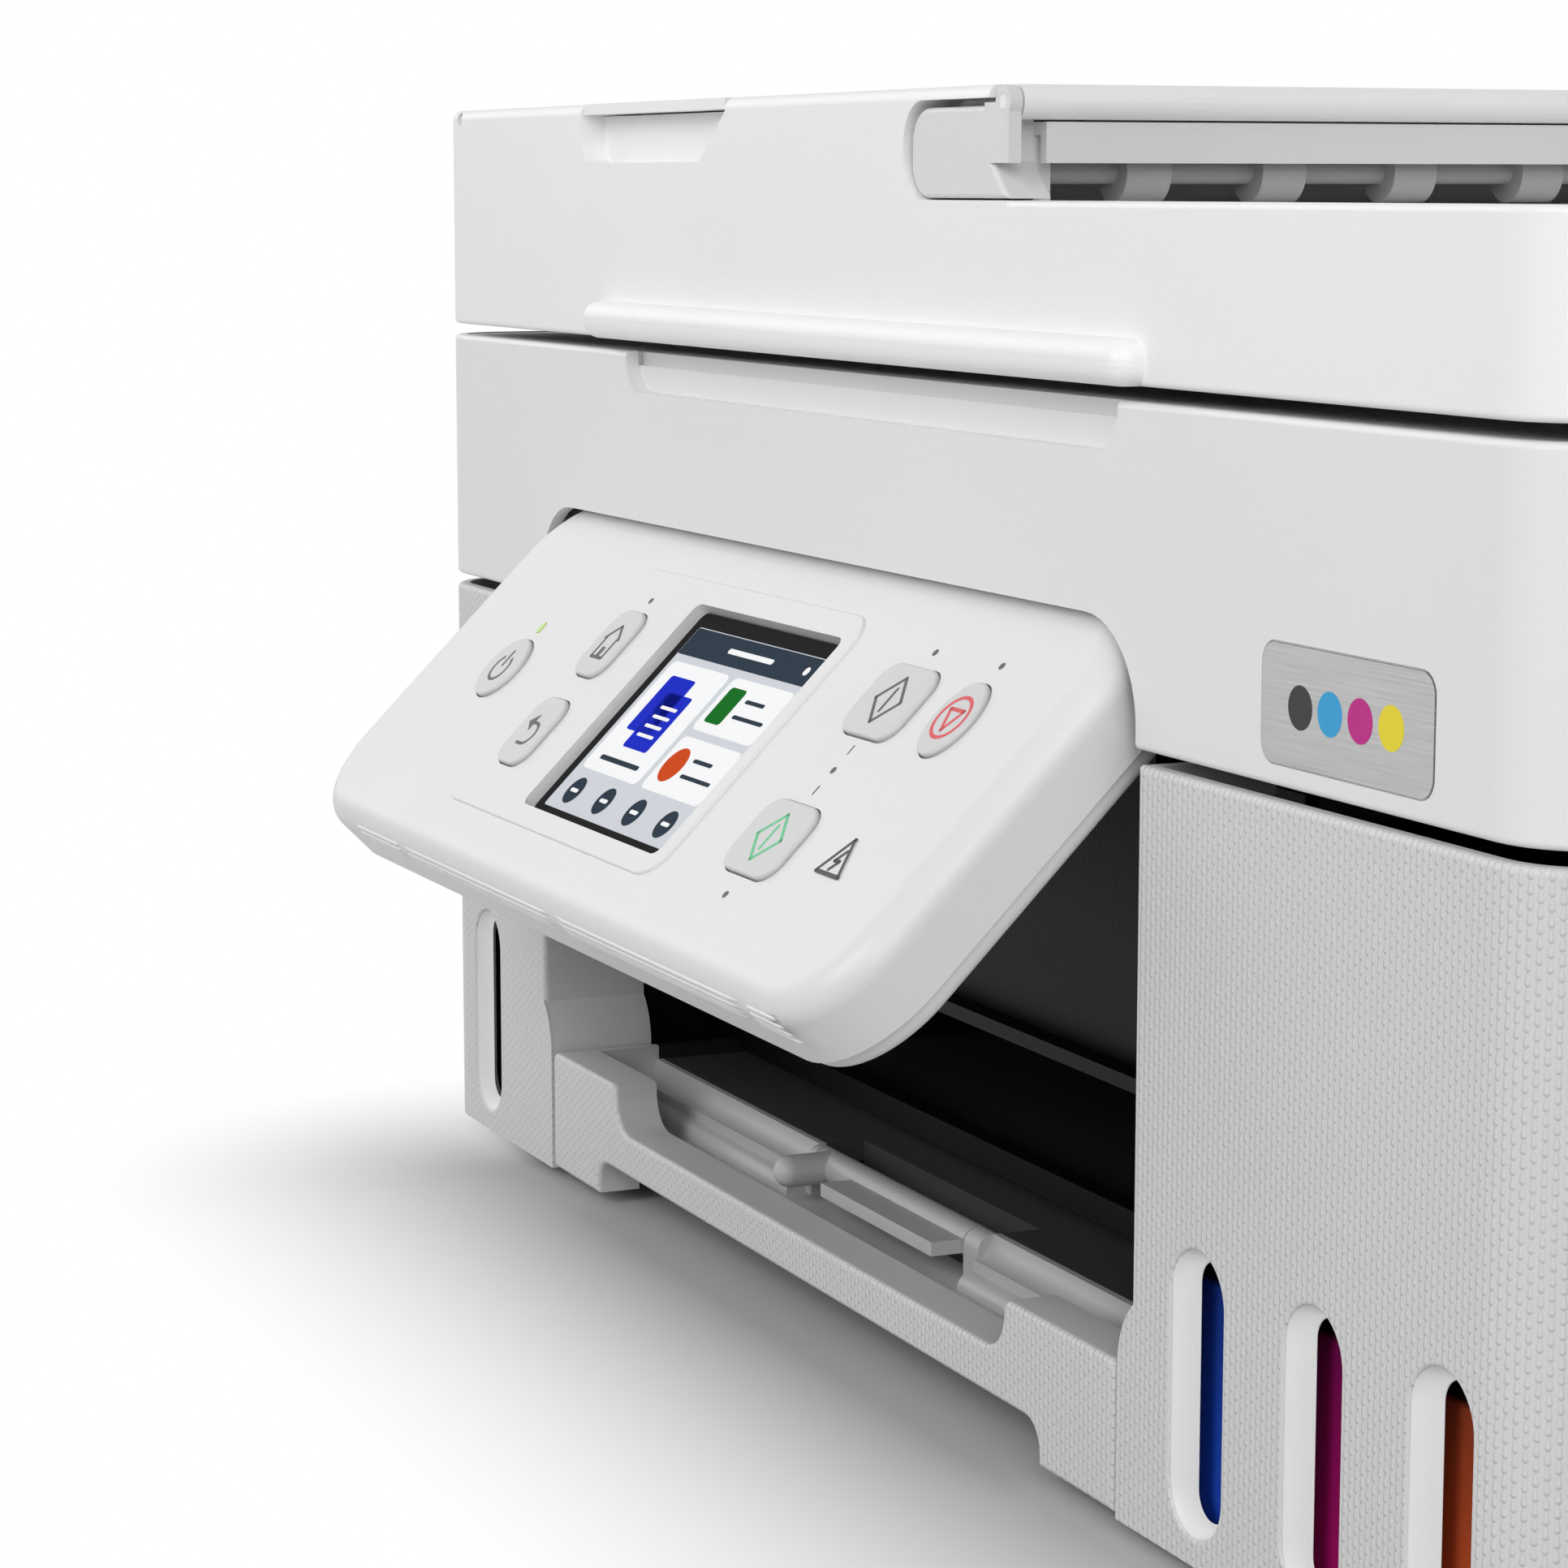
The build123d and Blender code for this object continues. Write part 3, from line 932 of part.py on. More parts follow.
def paper_guide(side):
    """Sliding guide beside the sheet: an upright fence on a base plate that reaches outward."""
    fence = PAPER_X + side * (SHEET_WIDTH / 2 + FIT_GAP)
    outer = fence + side * GUIDE_THICKNESS
    with BuildPart() as guide:
        slab(sorted((fence, outer)), GUIDE_Y, (GUIDE_Z, GUIDE_Z + GUIDE_SIZE[2]))
        slab(sorted((fence, fence - side * GUIDE_SIZE[0])), GUIDE_Y, (GUIDE_Z, GUIDE_Z + GUIDE_THICKNESS))
    return guide.part


with BuildPart() as paper_guide_left:
    add(paper_guide(-1))
paper_guide_left.part.label = "paper_guide_left"
export_step(paper_guide_left.part, "parts/paper_guide_left.step")

with BuildPart() as paper_guide_right:
    add(paper_guide(1))
paper_guide_right.part.label = "paper_guide_right"
export_step(paper_guide_right.part, "parts/paper_guide_right.step")

# Control panel, drawn on the tilted plane through its hinge axis; sketch y runs up the face
FACE = PANEL_HINGE_DEPTH
SHELL_BACK = FACE - PANEL_DEPTH
FACE_INSIDE = FACE - PANEL_WALL
PANEL_MID = (PANEL_RISE - PANEL_DROP) / 2
PANEL_HEIGHT = PANEL_RISE + PANEL_DROP
EAR_X = PANEL_ARM_WIDTH / 2 + SLIDE_GAP
ARM_X = (-PANEL_ARM_SPACING / 2, PANEL_ARM_SPACING / 2)
PANEL_LEFT = -PANEL_WIDTH / 2
PANEL_RIGHT = PANEL_WIDTH / 2
POWER_LAMP_X = PANEL_LEFT + POWER_LAMP_AT[0]
ALARM_LAMP_X = PANEL_RIGHT - ALARM_LAMP_AT[0]


def centre_of(x, drop):
    """Middle of the place that spans x and drop on the panel, in sketch coordinates."""
    return ((x[0] + x[1]) / 2, -(drop[0] + drop[1]) / 2)


def key_outline(key, grow):
    """Outline of a key or lamp of the panel, grown all round by grow, in the sketch at work."""
    if key == "power":
        Circle(POWER_DIAMETER / 2 + grow)
    elif key == "menu":
        RectangleRounded(MENU_KEY_SIZE[0] + 2 * grow, MENU_KEY_SIZE[1] + 2 * grow, KEY_CORNER_R + grow)
    elif key == "start":
        RectangleRounded(START_KEY_SIZE[0] + 2 * grow, START_KEY_SIZE[1] + 2 * grow, KEY_CORNER_R + grow)
    elif key == "stop":
        Ellipse(STOP_RADII[0] + grow, STOP_RADII[1] + grow)
    elif key == "lamp":
        SlotOverall(POWER_LAMP_SIZE[1] + 2 * grow, POWER_LAMP_SIZE[0] + 2 * grow, 90)


def alarm_outline(grow):
    """Rounded triangle of the alarm lamp at its place on the panel, grown all round by grow."""
    with BuildSketch() as outline:
        with Locations((ALARM_LAMP_X, -ALARM_LAMP_AT[1])):
            RegularPolygon(ALARM_LAMP_R + 2 * grow, 3, rotation=90)
        fillet(outline.vertices(), ALARM_CORNER_R + grow)
    return outline.sketch


KEYS = {
    "power": ("power", (PANEL_LEFT + POWER_AT[0], POWER_AT[1]), 0.0),
    "home": ("menu", HOME_AT, PAD_RAISE),
    "back": ("menu", BACK_AT, PAD_RAISE),
    "start_black": ("start", (PANEL_RIGHT - START_BLACK_AT[0], START_BLACK_AT[1]), 0.0),
    "stop": ("stop", (PANEL_RIGHT - STOP_AT[0], STOP_AT[1]), 0.0),
    "start_colour": ("start", (PANEL_RIGHT - START_COLOUR_AT[0], START_COLOUR_AT[1]), 0.0),
}


def panel_key(name):
    """Push key: cap through the shell and a flange that stops behind it."""
    outline, place, raise_by = KEYS[name]
    with BuildPart() as key:
        with BuildSketch(panel_plane.offset(FACE_INSIDE - KEY_TRAVEL)):
            with Locations((place[0], -place[1])):
                key_outline(outline, 0.0)
        extrude(amount=PANEL_WALL + KEY_TRAVEL + raise_by + KEY_RAISE)
        fillet(key.faces().sort_by(panel_normal)[-1].edges(), KEY_EDGE_R)
        with BuildSketch(panel_plane.offset(FACE_INSIDE - FIT_GAP)):
            with Locations((place[0], -place[1])):
                key_outline(outline, KEY_FLANGE)
        extrude(amount=-KEY_FLANGE_THICKNESS)
    return key.part


with BuildPart() as panel_front:
    with BuildSketch(panel_plane.offset(SHELL_BACK)):
        with Locations((0, PANEL_MID)):
            RectangleRounded(PANEL_WIDTH, PANEL_HEIGHT, PANEL_CORNER_R)
    extrude(amount=PANEL_DEPTH)
    fillet(panel_front.faces().sort_by(panel_normal)[-1].edges(), PANEL_EDGE_R)
    with BuildSketch(panel_plane.offset(SHELL_BACK)):
        with Locations((0, PANEL_MID)):
            RectangleRounded(
                PANEL_WIDTH - 2 * PANEL_WALL,
                PANEL_HEIGHT - 2 * PANEL_WALL,
                PANEL_CORNER_R - PANEL_WALL,
            )
    extrude(amount=PANEL_DEPTH - PANEL_WALL - PANEL_EDGE_R / 2, mode=Mode.SUBTRACT)
    with BuildSketch(panel_plane.offset(FACE_INSIDE)):
        with Locations((0, PANEL_MID)):
            RectangleRounded(
                PANEL_WIDTH - 2 * PANEL_WALL - PANEL_EDGE_R,
                PANEL_HEIGHT - 2 * PANEL_WALL - PANEL_EDGE_R,
                PANEL_CORNER_R - PANEL_WALL,
            )
    extrude(amount=-PANEL_EDGE_R / 2, mode=Mode.SUBTRACT)
    with BuildSketch(panel_plane.offset(FACE)):
        with Locations(centre_of(PAD_X, PAD_DROP)):
            RectangleRounded(PAD_X[1] - PAD_X[0], PAD_DROP[1] - PAD_DROP[0], PAD_CORNER_R)
    extrude(amount=PAD_RAISE)
    fillet(panel_front.faces().sort_by(panel_normal)[-1].edges(), PAD_EDGE_R)
    with BuildSketch(panel_plane.offset(FACE_INSIDE)):
        with Locations(centre_of(DISPLAY_X, DISPLAY_DROP)):
            RectangleRounded(
                DISPLAY_X[1] - DISPLAY_X[0],
                DISPLAY_DROP[1] - DISPLAY_DROP[0],
                DISPLAY_CORNER_R,
            )
        for outline, place, raise_by in KEYS.values():
            with Locations((place[0], -place[1])):
                key_outline(outline, KEY_GAP)
        with Locations((POWER_LAMP_X, -POWER_LAMP_AT[1])):
            key_outline("lamp", 0.0)
    extrude(amount=2 * PANEL_WALL, mode=Mode.SUBTRACT)
    extrude(panel_plane.offset(FACE_INSIDE) * alarm_outline(0.0), amount=2 * PANEL_WALL, mode=Mode.SUBTRACT)
    for x in ARM_X:
        with BuildSketch(panel_plane.offset(SHELL_BACK)):
            with Locations((x, PANEL_RISE)):
                Rectangle(2 * EAR_X, 2 * (PANEL_WALL + SLIDE_GAP))
        extrude(amount=PANEL_DEPTH - PANEL_EDGE_R, mode=Mode.SUBTRACT)
        with BuildSketch(panel_plane.offset(SHELL_BACK)):
            with Locations((x, 0)):
                Rectangle(2 * EAR_X, 2 * (PANEL_EYE_R + SLIDE_GAP))
        extrude(amount=PANEL_EYE_R + SLIDE_GAP - SHELL_BACK, mode=Mode.SUBTRACT)
panel_front.part.label = "panel_front"
export_step(panel_front.part, "parts/panel_front.step")

BACK_WIDTH = PANEL_WIDTH - 2 * PANEL_BACK_INSET
BACK_HEIGHT = PANEL_HEIGHT - 2 * PANEL_BACK_INSET
SLOT_DROP = PANEL_EYE_R + PANEL_EAR
EAR_R = PANEL_EYE_R - 2 * SLIDE_GAP
with BuildPart() as panel_back:
    with BuildSketch(panel_plane.offset(SHELL_BACK)):
        with Locations((0, PANEL_MID)):
            RectangleRounded(BACK_WIDTH, BACK_HEIGHT, PANEL_CORNER_R - PANEL_BACK_INSET)
    extrude(amount=-PANEL_BACK_DEPTH)
    fillet(panel_back.faces().sort_by(panel_normal)[0].edges(), PANEL_BACK_DEPTH / 2)
    for x in ARM_X:
        with BuildSketch(panel_plane.offset(SHELL_BACK - PANEL_BACK_DEPTH)):
            with Locations((x, -SLOT_DROP)):
                Rectangle(2 * EAR_X, 4 * SLOT_DROP, align=(Align.CENTER, Align.MIN))
        extrude(amount=2 * PANEL_BACK_DEPTH, mode=Mode.SUBTRACT)
        for side in (-1, 1):
            ear_face = PAPER_X + x + (EAR_X if side > 0 else -EAR_X - PANEL_EAR)
            with BuildSketch(Plane.YZ.offset(ear_face)) as ear:
                with Locations((PANEL_AXIS_Y, PANEL_AXIS_Z)):
                    Circle(EAR_R)
                    with Locations((0, 0)):
                        Rectangle(
                            2 * EAR_R,
                            -SHELL_BACK + SLIDE_GAP,
                            rotation=PANEL_TILT,
                            align=(Align.CENTER, Align.MAX),
                        )
            extrude(amount=PANEL_EAR)
        rod((PAPER_X + x, PANEL_AXIS_Y, PANEL_AXIS_Z), "X", PIN_R + RUN_CLEAR, 2 * PIN_LENGTH, Mode.SUBTRACT)
panel_back.part.label = "panel_back"
export_step(panel_back.part, "parts/panel_back.step")

with BuildPart() as lcd_module:
    with BuildSketch(panel_plane.offset(FACE_INSIDE)):
        with Locations(centre_of(DISPLAY_X, DISPLAY_DROP)):
            Rectangle(
                DISPLAY_X[1] - DISPLAY_X[0] + 2 * DISPLAY_FRAME,
                DISPLAY_DROP[1] - DISPLAY_DROP[0] + DISPLAY_FRAME,
            )
    extrude(amount=-DISPLAY_THICKNESS)
    with BuildSketch(panel_plane.offset(FACE_INSIDE)):
        with Locations(centre_of(DISPLAY_X, DISPLAY_DROP)):
            RectangleRounded(
                DISPLAY_X[1] - DISPLAY_X[0] - 2 * KEY_GAP,
                DISPLAY_DROP[1] - DISPLAY_DROP[0] - 2 * KEY_GAP,
                DISPLAY_CORNER_R - KEY_GAP,
            )
    extrude(amount=PANEL_WALL + PAD_RAISE - DISPLAY_SINK)
lcd_module.part.label = "lcd_module"
export_step(lcd_module.part, "parts/lcd_module.step")

with BuildPart() as power_lamp:
    with BuildSketch(panel_plane.offset(FACE_INSIDE)):
        with Locations((POWER_LAMP_X, -POWER_LAMP_AT[1])):
            key_outline("lamp", -RUN_CLEAR)
    extrude(amount=PANEL_WALL + LAMP_RAISE)
    with BuildSketch(panel_plane.offset(FACE_INSIDE)):
        with Locations((POWER_LAMP_X, -POWER_LAMP_AT[1])):
            key_outline("lamp", LAMP_FLANGE)
    extrude(amount=-KEY_FLANGE_THICKNESS)
power_lamp.part.label = "power_lamp"
export_step(power_lamp.part, "parts/power_lamp.step")

with BuildPart() as alarm_lamp:
    extrude(panel_plane.offset(FACE_INSIDE) * alarm_outline(-RUN_CLEAR), amount=PANEL_WALL + LAMP_RAISE)
    extrude(panel_plane.offset(FACE_INSIDE) * alarm_outline(LAMP_FLANGE), amount=-KEY_FLANGE_THICKNESS)
alarm_lamp.part.label = "alarm_lamp"
export_step(alarm_lamp.part, "parts/alarm_lamp.step")

with BuildPart() as power_button:
    add(panel_key("power"))
power_button.part.label = "power_button"
export_step(power_button.part, "parts/power_button.step")

with BuildPart() as home_button:
    add(panel_key("home"))
home_button.part.label = "home_button"
export_step(home_button.part, "parts/home_button.step")

with BuildPart() as back_button:
    add(panel_key("back"))
back_button.part.label = "back_button"
export_step(back_button.part, "parts/back_button.step")

with BuildPart() as start_black_button:
    add(panel_key("start_black"))
start_black_button.part.label = "start_black_button"
export_step(start_black_button.part, "parts/start_black_button.step")

with BuildPart() as stop_button:
    add(panel_key("stop"))
stop_button.part.label = "stop_button"
export_step(stop_button.part, "parts/stop_button.step")

with BuildPart() as start_colour_button:
    add(panel_key("start_colour"))
start_colour_button.part.label = "start_colour_button"
export_step(start_colour_button.part, "parts/start_colour_button.step")

# Scanner unit
SCAN_FLOOR = Z_SCANNER + SCANNER_FLOOR_RISE
SCAN_BED = SCAN_FLOOR + WALL
TOP_Z = Z_SCANNER_TOP - TOP_SINK
LEDGE_Z = TOP_Z - TOP_THICKNESS
NOTCH_WIDTH = BAY_WIDTH - 2 * NOTCH_INSET
BADGE_X = HALF_WIDTH - BADGE_INSET
BADGE_Z = Z_BASE + BADGE_HEIGHT
SENSOR_HOME_X = SENSOR_HOME_INSET - GLASS_SIZE[0] / 2
SENSOR_TRAVEL = GLASS_SIZE[0] - SENSOR_HOME_INSET - SENSOR_END_INSET
with BuildPart() as scanner_housing:
    extrude(Plane.XY.offset(Z_SCANNER) * upper_plan(0), amount=SCANNER_HEIGHT)
    rims = scanner_housing.faces().filter_by(Axis.Z).edges()
    fillet(rims, EDGE_R)
    extrude(Plane.XY.offset(Z_SCANNER) * upper_plan(WALL), amount=SCANNER_FLOOR_RISE, mode=Mode.SUBTRACT)
    bed_plan = Plane.XY.offset(SCAN_BED) * upper_plan(WALL + TOP_LEDGE)
    extrude(bed_plan, amount=SCANNER_HEIGHT, mode=Mode.SUBTRACT)
    extrude(Plane.XY.offset(LEDGE_Z) * upper_plan(WALL), amount=SCANNER_HEIGHT, mode=Mode.SUBTRACT)
    with BuildSketch(front_plane) as notch:
        with Locations((PAPER_X, Z_BASE + NOTCH_TOP)):
            Rectangle(NOTCH_WIDTH, SCANNER_HEIGHT, align=(Align.CENTER, Align.MAX))
        fillet(notch.vertices().group_by(Axis.Y)[-1], NOTCH_CORNER_R)
    extrude(amount=-2 * WALL, mode=Mode.SUBTRACT)
    with BuildSketch(front_plane) as finger:
        with Locations((FINGER_X, Z_SCANNER_TOP)):
            Rectangle(FINGER_WIDTH, FINGER_HEIGHT, align=(Align.CENTER, Align.MAX))
        fillet(finger.vertices().group_by(Axis.Y)[0], FINGER_R)
    extrude(amount=-FINGER_DEPTH, mode=Mode.SUBTRACT)
    with BuildSketch(front_plane):
        with Locations((BADGE_X, BADGE_Z)):
            RectangleRounded(
                BADGE_SIZE[0] + 2 * KEY_GAP,
                BADGE_SIZE[1] + 2 * KEY_GAP,
                BADGE_CORNER_R + KEY_GAP,
            )
    extrude(amount=-BADGE_SINK, mode=Mode.SUBTRACT)
    slab(
        (SENSOR_HOME_X - SENSOR_SIZE[0], SENSOR_HOME_X + SENSOR_TRAVEL + SENSOR_SIZE[0]),
        (UPPER_Y - SENSOR_RAIL_WIDTH / 2, UPPER_Y + SENSOR_RAIL_WIDTH / 2),
        (SCAN_BED, SCAN_BED + SENSOR_RAIL_HEIGHT),
    )
    for x in (-POST_X, POST_X):
        reach = POST_WIDTH / 2 + SEAM_GAP
        slab(
            (x - reach, x + reach),
            (UPPER_BACK - 3 * POST_EYE_R, UPPER_BACK + WALL),
            (Z_SCANNER - WALL, SCANNER_AXIS_Z + 2 * POST_EYE_R),
            Mode.SUBTRACT,
        )
        for side in (-1, 1):
            ear_x = sorted((x + side * reach, x + side * (reach + EAR_THICKNESS)))
            slab(ear_x, (UPPER_BACK - 2 * PIN_R, UPPER_BACK), (SCANNER_AXIS_Z, SCAN_FLOOR))
            rod((sum(ear_x) / 2, UPPER_BACK, SCANNER_AXIS_Z), "X", 2 * PIN_R, EAR_THICKNESS)
        rod((x, UPPER_BACK, SCANNER_AXIS_Z), "X", PIN_R + RUN_CLEAR, 3 * POST_WIDTH, Mode.SUBTRACT)
        rod((x, UPPER_BACK, LID_AXIS_Z), "X", LID_EYE_R + SEAM_GAP, 2 * POST_WIDTH, Mode.SUBTRACT)
        lug_x = (x - POST_WIDTH / 2, x + POST_WIDTH / 2)
        slab(lug_x, (UPPER_BACK - LID_EYE_R, UPPER_BACK), (LEDGE_Z, LID_AXIS_Z))
        rod((x, UPPER_BACK, LID_AXIS_Z), "X", LID_EYE_R, POST_WIDTH)
        rod((x, UPPER_BACK, LID_AXIS_Z), "X", PIN_R, 3 * POST_WIDTH, Mode.SUBTRACT)
scanner_housing.part.label = "scanner_housing"
export_step(scanner_housing.part, "parts/scanner_housing.step")

with BuildPart() as lid_pins:
    for x in (-POST_X, POST_X):
        rod((x, UPPER_BACK, LID_AXIS_Z), "X", PIN_R, PIN_LENGTH)
lid_pins.part.label = "lid_pins"
export_step(lid_pins.part, "parts/lid_pins.step")

with BuildPart() as scanner_top:
    extrude(Plane.XY.offset(LEDGE_Z) * upper_plan(WALL + FIT_GAP), amount=TOP_THICKNESS)
    glass_lip = (GLASS_SIZE[0] - 2 * GLASS_LEDGE, GLASS_SIZE[1] - 2 * GLASS_LEDGE)
    with Locations((0, UPPER_Y, LEDGE_Z)):
        Box(*glass_lip, 4 * TOP_THICKNESS, mode=Mode.SUBTRACT)
    with Locations((0, UPPER_Y, TOP_Z - GLASS_THICKNESS)):
        Box(
            GLASS_SIZE[0] + FIT_GAP,
            GLASS_SIZE[1] + FIT_GAP,
            2 * GLASS_THICKNESS,
            align=(Align.CENTER, Align.CENTER, Align.MIN),
            mode=Mode.SUBTRACT,
        )
    for x in (-POST_X, POST_X):
        slab(
            (x - POST_WIDTH, x + POST_WIDTH),
            (UPPER_BACK - 2 * LID_EYE_R - SEAM_GAP, UPPER_BACK),
            (LEDGE_Z - WALL, TOP_Z + WALL),
            Mode.SUBTRACT,
        )
    slab(
        (FINGER_X - FINGER_WIDTH / 2 - SEAM_GAP, FINGER_X + FINGER_WIDTH / 2 + SEAM_GAP),
        (FRONT, FRONT + FINGER_DEPTH + SEAM_GAP),
        (LEDGE_Z - WALL, TOP_Z + WALL),
        Mode.SUBTRACT,
    )
scanner_top.part.label = "scanner_top"
export_step(scanner_top.part, "parts/scanner_top.step")

with BuildPart() as platen_glass:
    with Locations((0, UPPER_Y, TOP_Z)):
        Box(*GLASS_SIZE, GLASS_THICKNESS, align=(Align.CENTER, Align.CENTER, Align.MAX))
platen_glass.part.label = "platen_glass"
export_step(platen_glass.part, "parts/platen_glass.step")

with BuildPart() as badge_plate:
    with BuildSketch(front_plane.offset(-BADGE_SINK)):
        with Locations((BADGE_X, BADGE_Z)):
            RectangleRounded(*BADGE_SIZE, BADGE_CORNER_R)
    extrude(amount=BADGE_THICKNESS)
badge_plate.part.label = "badge_plate"
export_step(badge_plate.part, "parts/badge_plate.step")

with BuildPart() as scan_sensor:
    with Locations((SENSOR_HOME_X, UPPER_Y, SCAN_BED + SENSOR_RAIL_HEIGHT + SEAT_GAP)):
        Box(*SENSOR_SIZE, align=(Align.CENTER, Align.CENTER, Align.MIN))
scan_sensor.part.label = "scan_sensor"
export_step(scan_sensor.part, "parts/scan_sensor.step")

# Document cover with the feeder hump on the left and the delivery deck on the right
Z_DECK_FLOOR = Z_LID + DECK_FLOOR_RISE
WELL_Y = (FRONT + LID_WALL, UPPER_BACK - LID_WALL)
COVER_Z = Z_HUMP - COVER_THICKNESS
TRAY_AXIS_Z = Z_HUMP - TRAY_BARREL_R
COVER_LEFT = COVER_INSET - HALF_WIDTH
COVER_AXIS_X = COVER_LEFT + COVER_PIVOT_IN
COVER_AXIS_Z = Z_HUMP - COVER_THICKNESS / 2
BAND_Z = Z_HUMP - LIP_THICKNESS
BAND_RIGHT = HUMP_RIGHT - BAND_INSET
CUTOUT_LEFT = HUMP_RIGHT - CUTOUT_WIDTH
GRIP_Z = BAND_Z - GRIP_HEIGHT
with BuildPart() as cover_lip:
    with BuildSketch(Plane.XY.offset(Z_LID)) as lip_plan:
        with Locations((HANDLE_X, FRONT + LID_WALL / 2)):
            Rectangle(HANDLE_WIDTH, HANDLE_REACH + LID_WALL / 2, align=(Align.CENTER, Align.MAX))
        fillet(lip_plan.vertices().group_by(Axis.Y)[0], HANDLE_END_R)
    extrude(amount=HANDLE_HEIGHT)
    lip_rims = cover_lip.faces().filter_by(Axis.Z).edges()
    fillet(lip_rims.filter_by_position(Axis.Y, FRONT - 2 * HANDLE_REACH, FRONT + LID_WALL / 4), HANDLE_R)

with BuildPart() as document_cover:
    extrude(Plane.XY.offset(Z_LID) * upper_plan(0), amount=HUMP_HEIGHT)
    fillet(document_cover.faces().sort_by(Axis.Z)[-1].edges(), HUMP_EDGE_R)
    with BuildSketch(Plane.XZ) as profile:
        with BuildLine():
            Polyline(
                (-HALF_WIDTH, Z_LID),
                (-HALF_WIDTH, Z_HUMP),
                (HUMP_RIGHT, Z_HUMP),
                (HUMP_RIGHT, Z_DECK),
                (HALF_WIDTH, Z_DECK),
                (HALF_WIDTH, Z_LID),
                close=True,
            )
        make_face()
        fillet(profile.vertices().group_by(Axis.X)[0].sort_by(Axis.Y)[-1], HUMP_TOP_R)
    extrude(amount=BODY_DEPTH, both=True, mode=Mode.INTERSECT)
    low_rim = document_cover.faces().filter_by(Axis.Z).sort_by(Axis.Z)[0].edges()
    deck_rim = document_cover.faces().filter_by(Axis.Z).sort_by(Axis.Z)[1].edges()
    fillet(low_rim + deck_rim.filter_by_position(Axis.X, HUMP_RIGHT + EDGE_R, BODY_WIDTH), EDGE_R)
    well_x = (-HALF_WIDTH + LID_WALL, HALF_WIDTH - LID_WALL)
    slab(well_x, WELL_Y, (Z_DECK_FLOOR, 2 * Z_HUMP), Mode.SUBTRACT)
    cell_x = (BODY_WIDTH - 2 * LID_WALL + RIB_THICKNESS) / RIB_COLUMN_COUNT
    cell_y = (UPPER_DEPTH - 2 * LID_WALL + RIB_THICKNESS) / RIB_ROW_COUNT
    with Locations((0, UPPER_Y, Z_LID)):
        with GridLocations(cell_x, cell_y, RIB_COLUMN_COUNT, RIB_ROW_COUNT):
            Box(
                cell_x - RIB_THICKNESS,
                cell_y - RIB_THICKNESS,
                RIB_POCKET_DEPTH,
                align=(Align.CENTER, Align.CENTER, Align.MIN),
                mode=Mode.SUBTRACT,
            )
    with BuildSketch(front_plane) as cutout:
        with Locations((CUTOUT_LEFT, Z_DECK)):
            Rectangle(BODY_WIDTH, BAND_Z - Z_DECK, align=(Align.MIN, Align.MIN))
        fillet(cutout.vertices().group_by(Axis.X)[0], CUTOUT_R)
        with Locations((BAND_RIGHT, Z_DECK)):
            Rectangle(BODY_WIDTH, HUMP_HEIGHT, align=(Align.MIN, Align.MIN))
    extrude(amount=-BODY_DEPTH, mode=Mode.SUBTRACT)
    with BuildSketch(front_plane) as grip:
        with BuildLine():
            Polyline(
                (GRIP_LEFT, GRIP_Z),
                (GRIP_RIGHT - GRIP_SLANT, GRIP_Z),
                (GRIP_RIGHT, BAND_Z - FIT_GAP),
                (GRIP_LEFT, BAND_Z - FIT_GAP),
                close=True,
            )
        make_face()
        fillet(grip.vertices().group_by(Axis.Y)[0], GRIP_R)
        with Locations((GRIP_LEFT, BAND_Z - FIT_GAP)):
            Rectangle(GRIP_RIGHT - GRIP_LEFT, 2 * LIP_THICKNESS, align=(Align.MIN, Align.MIN))
    extrude(amount=-GRIP_DEPTH, mode=Mode.SUBTRACT)
    slab(
        (GRIP_LEFT, GRIP_RIGHT),
        (FRONT, FRONT + 2 * LID_WALL),
        (BAND_Z - FIT_GAP, Z_HUMP + WALL),
        Mode.SUBTRACT,
    )
    add(cover_lip.part)
    for end in (WELL_Y[0] - LID_WALL / 2, WELL_Y[1] + LID_WALL / 2):
        pin_hole = LID_WALL + 2 * SEAM_GAP
        rod((COVER_AXIS_X, end, COVER_AXIS_Z), "Y", COVER_PIN_R + RUN_CLEAR, pin_hole, Mode.SUBTRACT)
    for x in (-POST_X, POST_X):
        reach = POST_WIDTH / 2 + SEAM_GAP
        slab(
            (x - reach, x + reach),
            (UPPER_BACK - 3 * LID_EYE_R, UPPER_BACK + WALL),
            (Z_LID - WALL, LID_AXIS_Z + 2 * LID_EYE_R),
            Mode.SUBTRACT,
        )
        for side in (-1, 1):
            ear_x = sorted((x + side * reach, x + side * (reach + EAR_THICKNESS)))
            rod((sum(ear_x) / 2, UPPER_BACK, LID_AXIS_Z), "X", LID_EYE_R, EAR_THICKNESS)
        rod((x, UPPER_BACK, LID_AXIS_Z), "X", PIN_R + RUN_CLEAR, 3 * POST_WIDTH, Mode.SUBTRACT)
document_cover.part.label = "document_cover"
export_step(document_cover.part, "parts/document_cover.step")

with BuildPart() as cover_backing:
    with Locations((0, UPPER_Y, Z_LID)):
        Box(*GLASS_SIZE, PAD_REVEAL, align=(Align.CENTER, Align.CENTER, Align.MAX))
cover_backing.part.label = "cover_backing"
export_step(cover_backing.part, "parts/cover_backing.step")

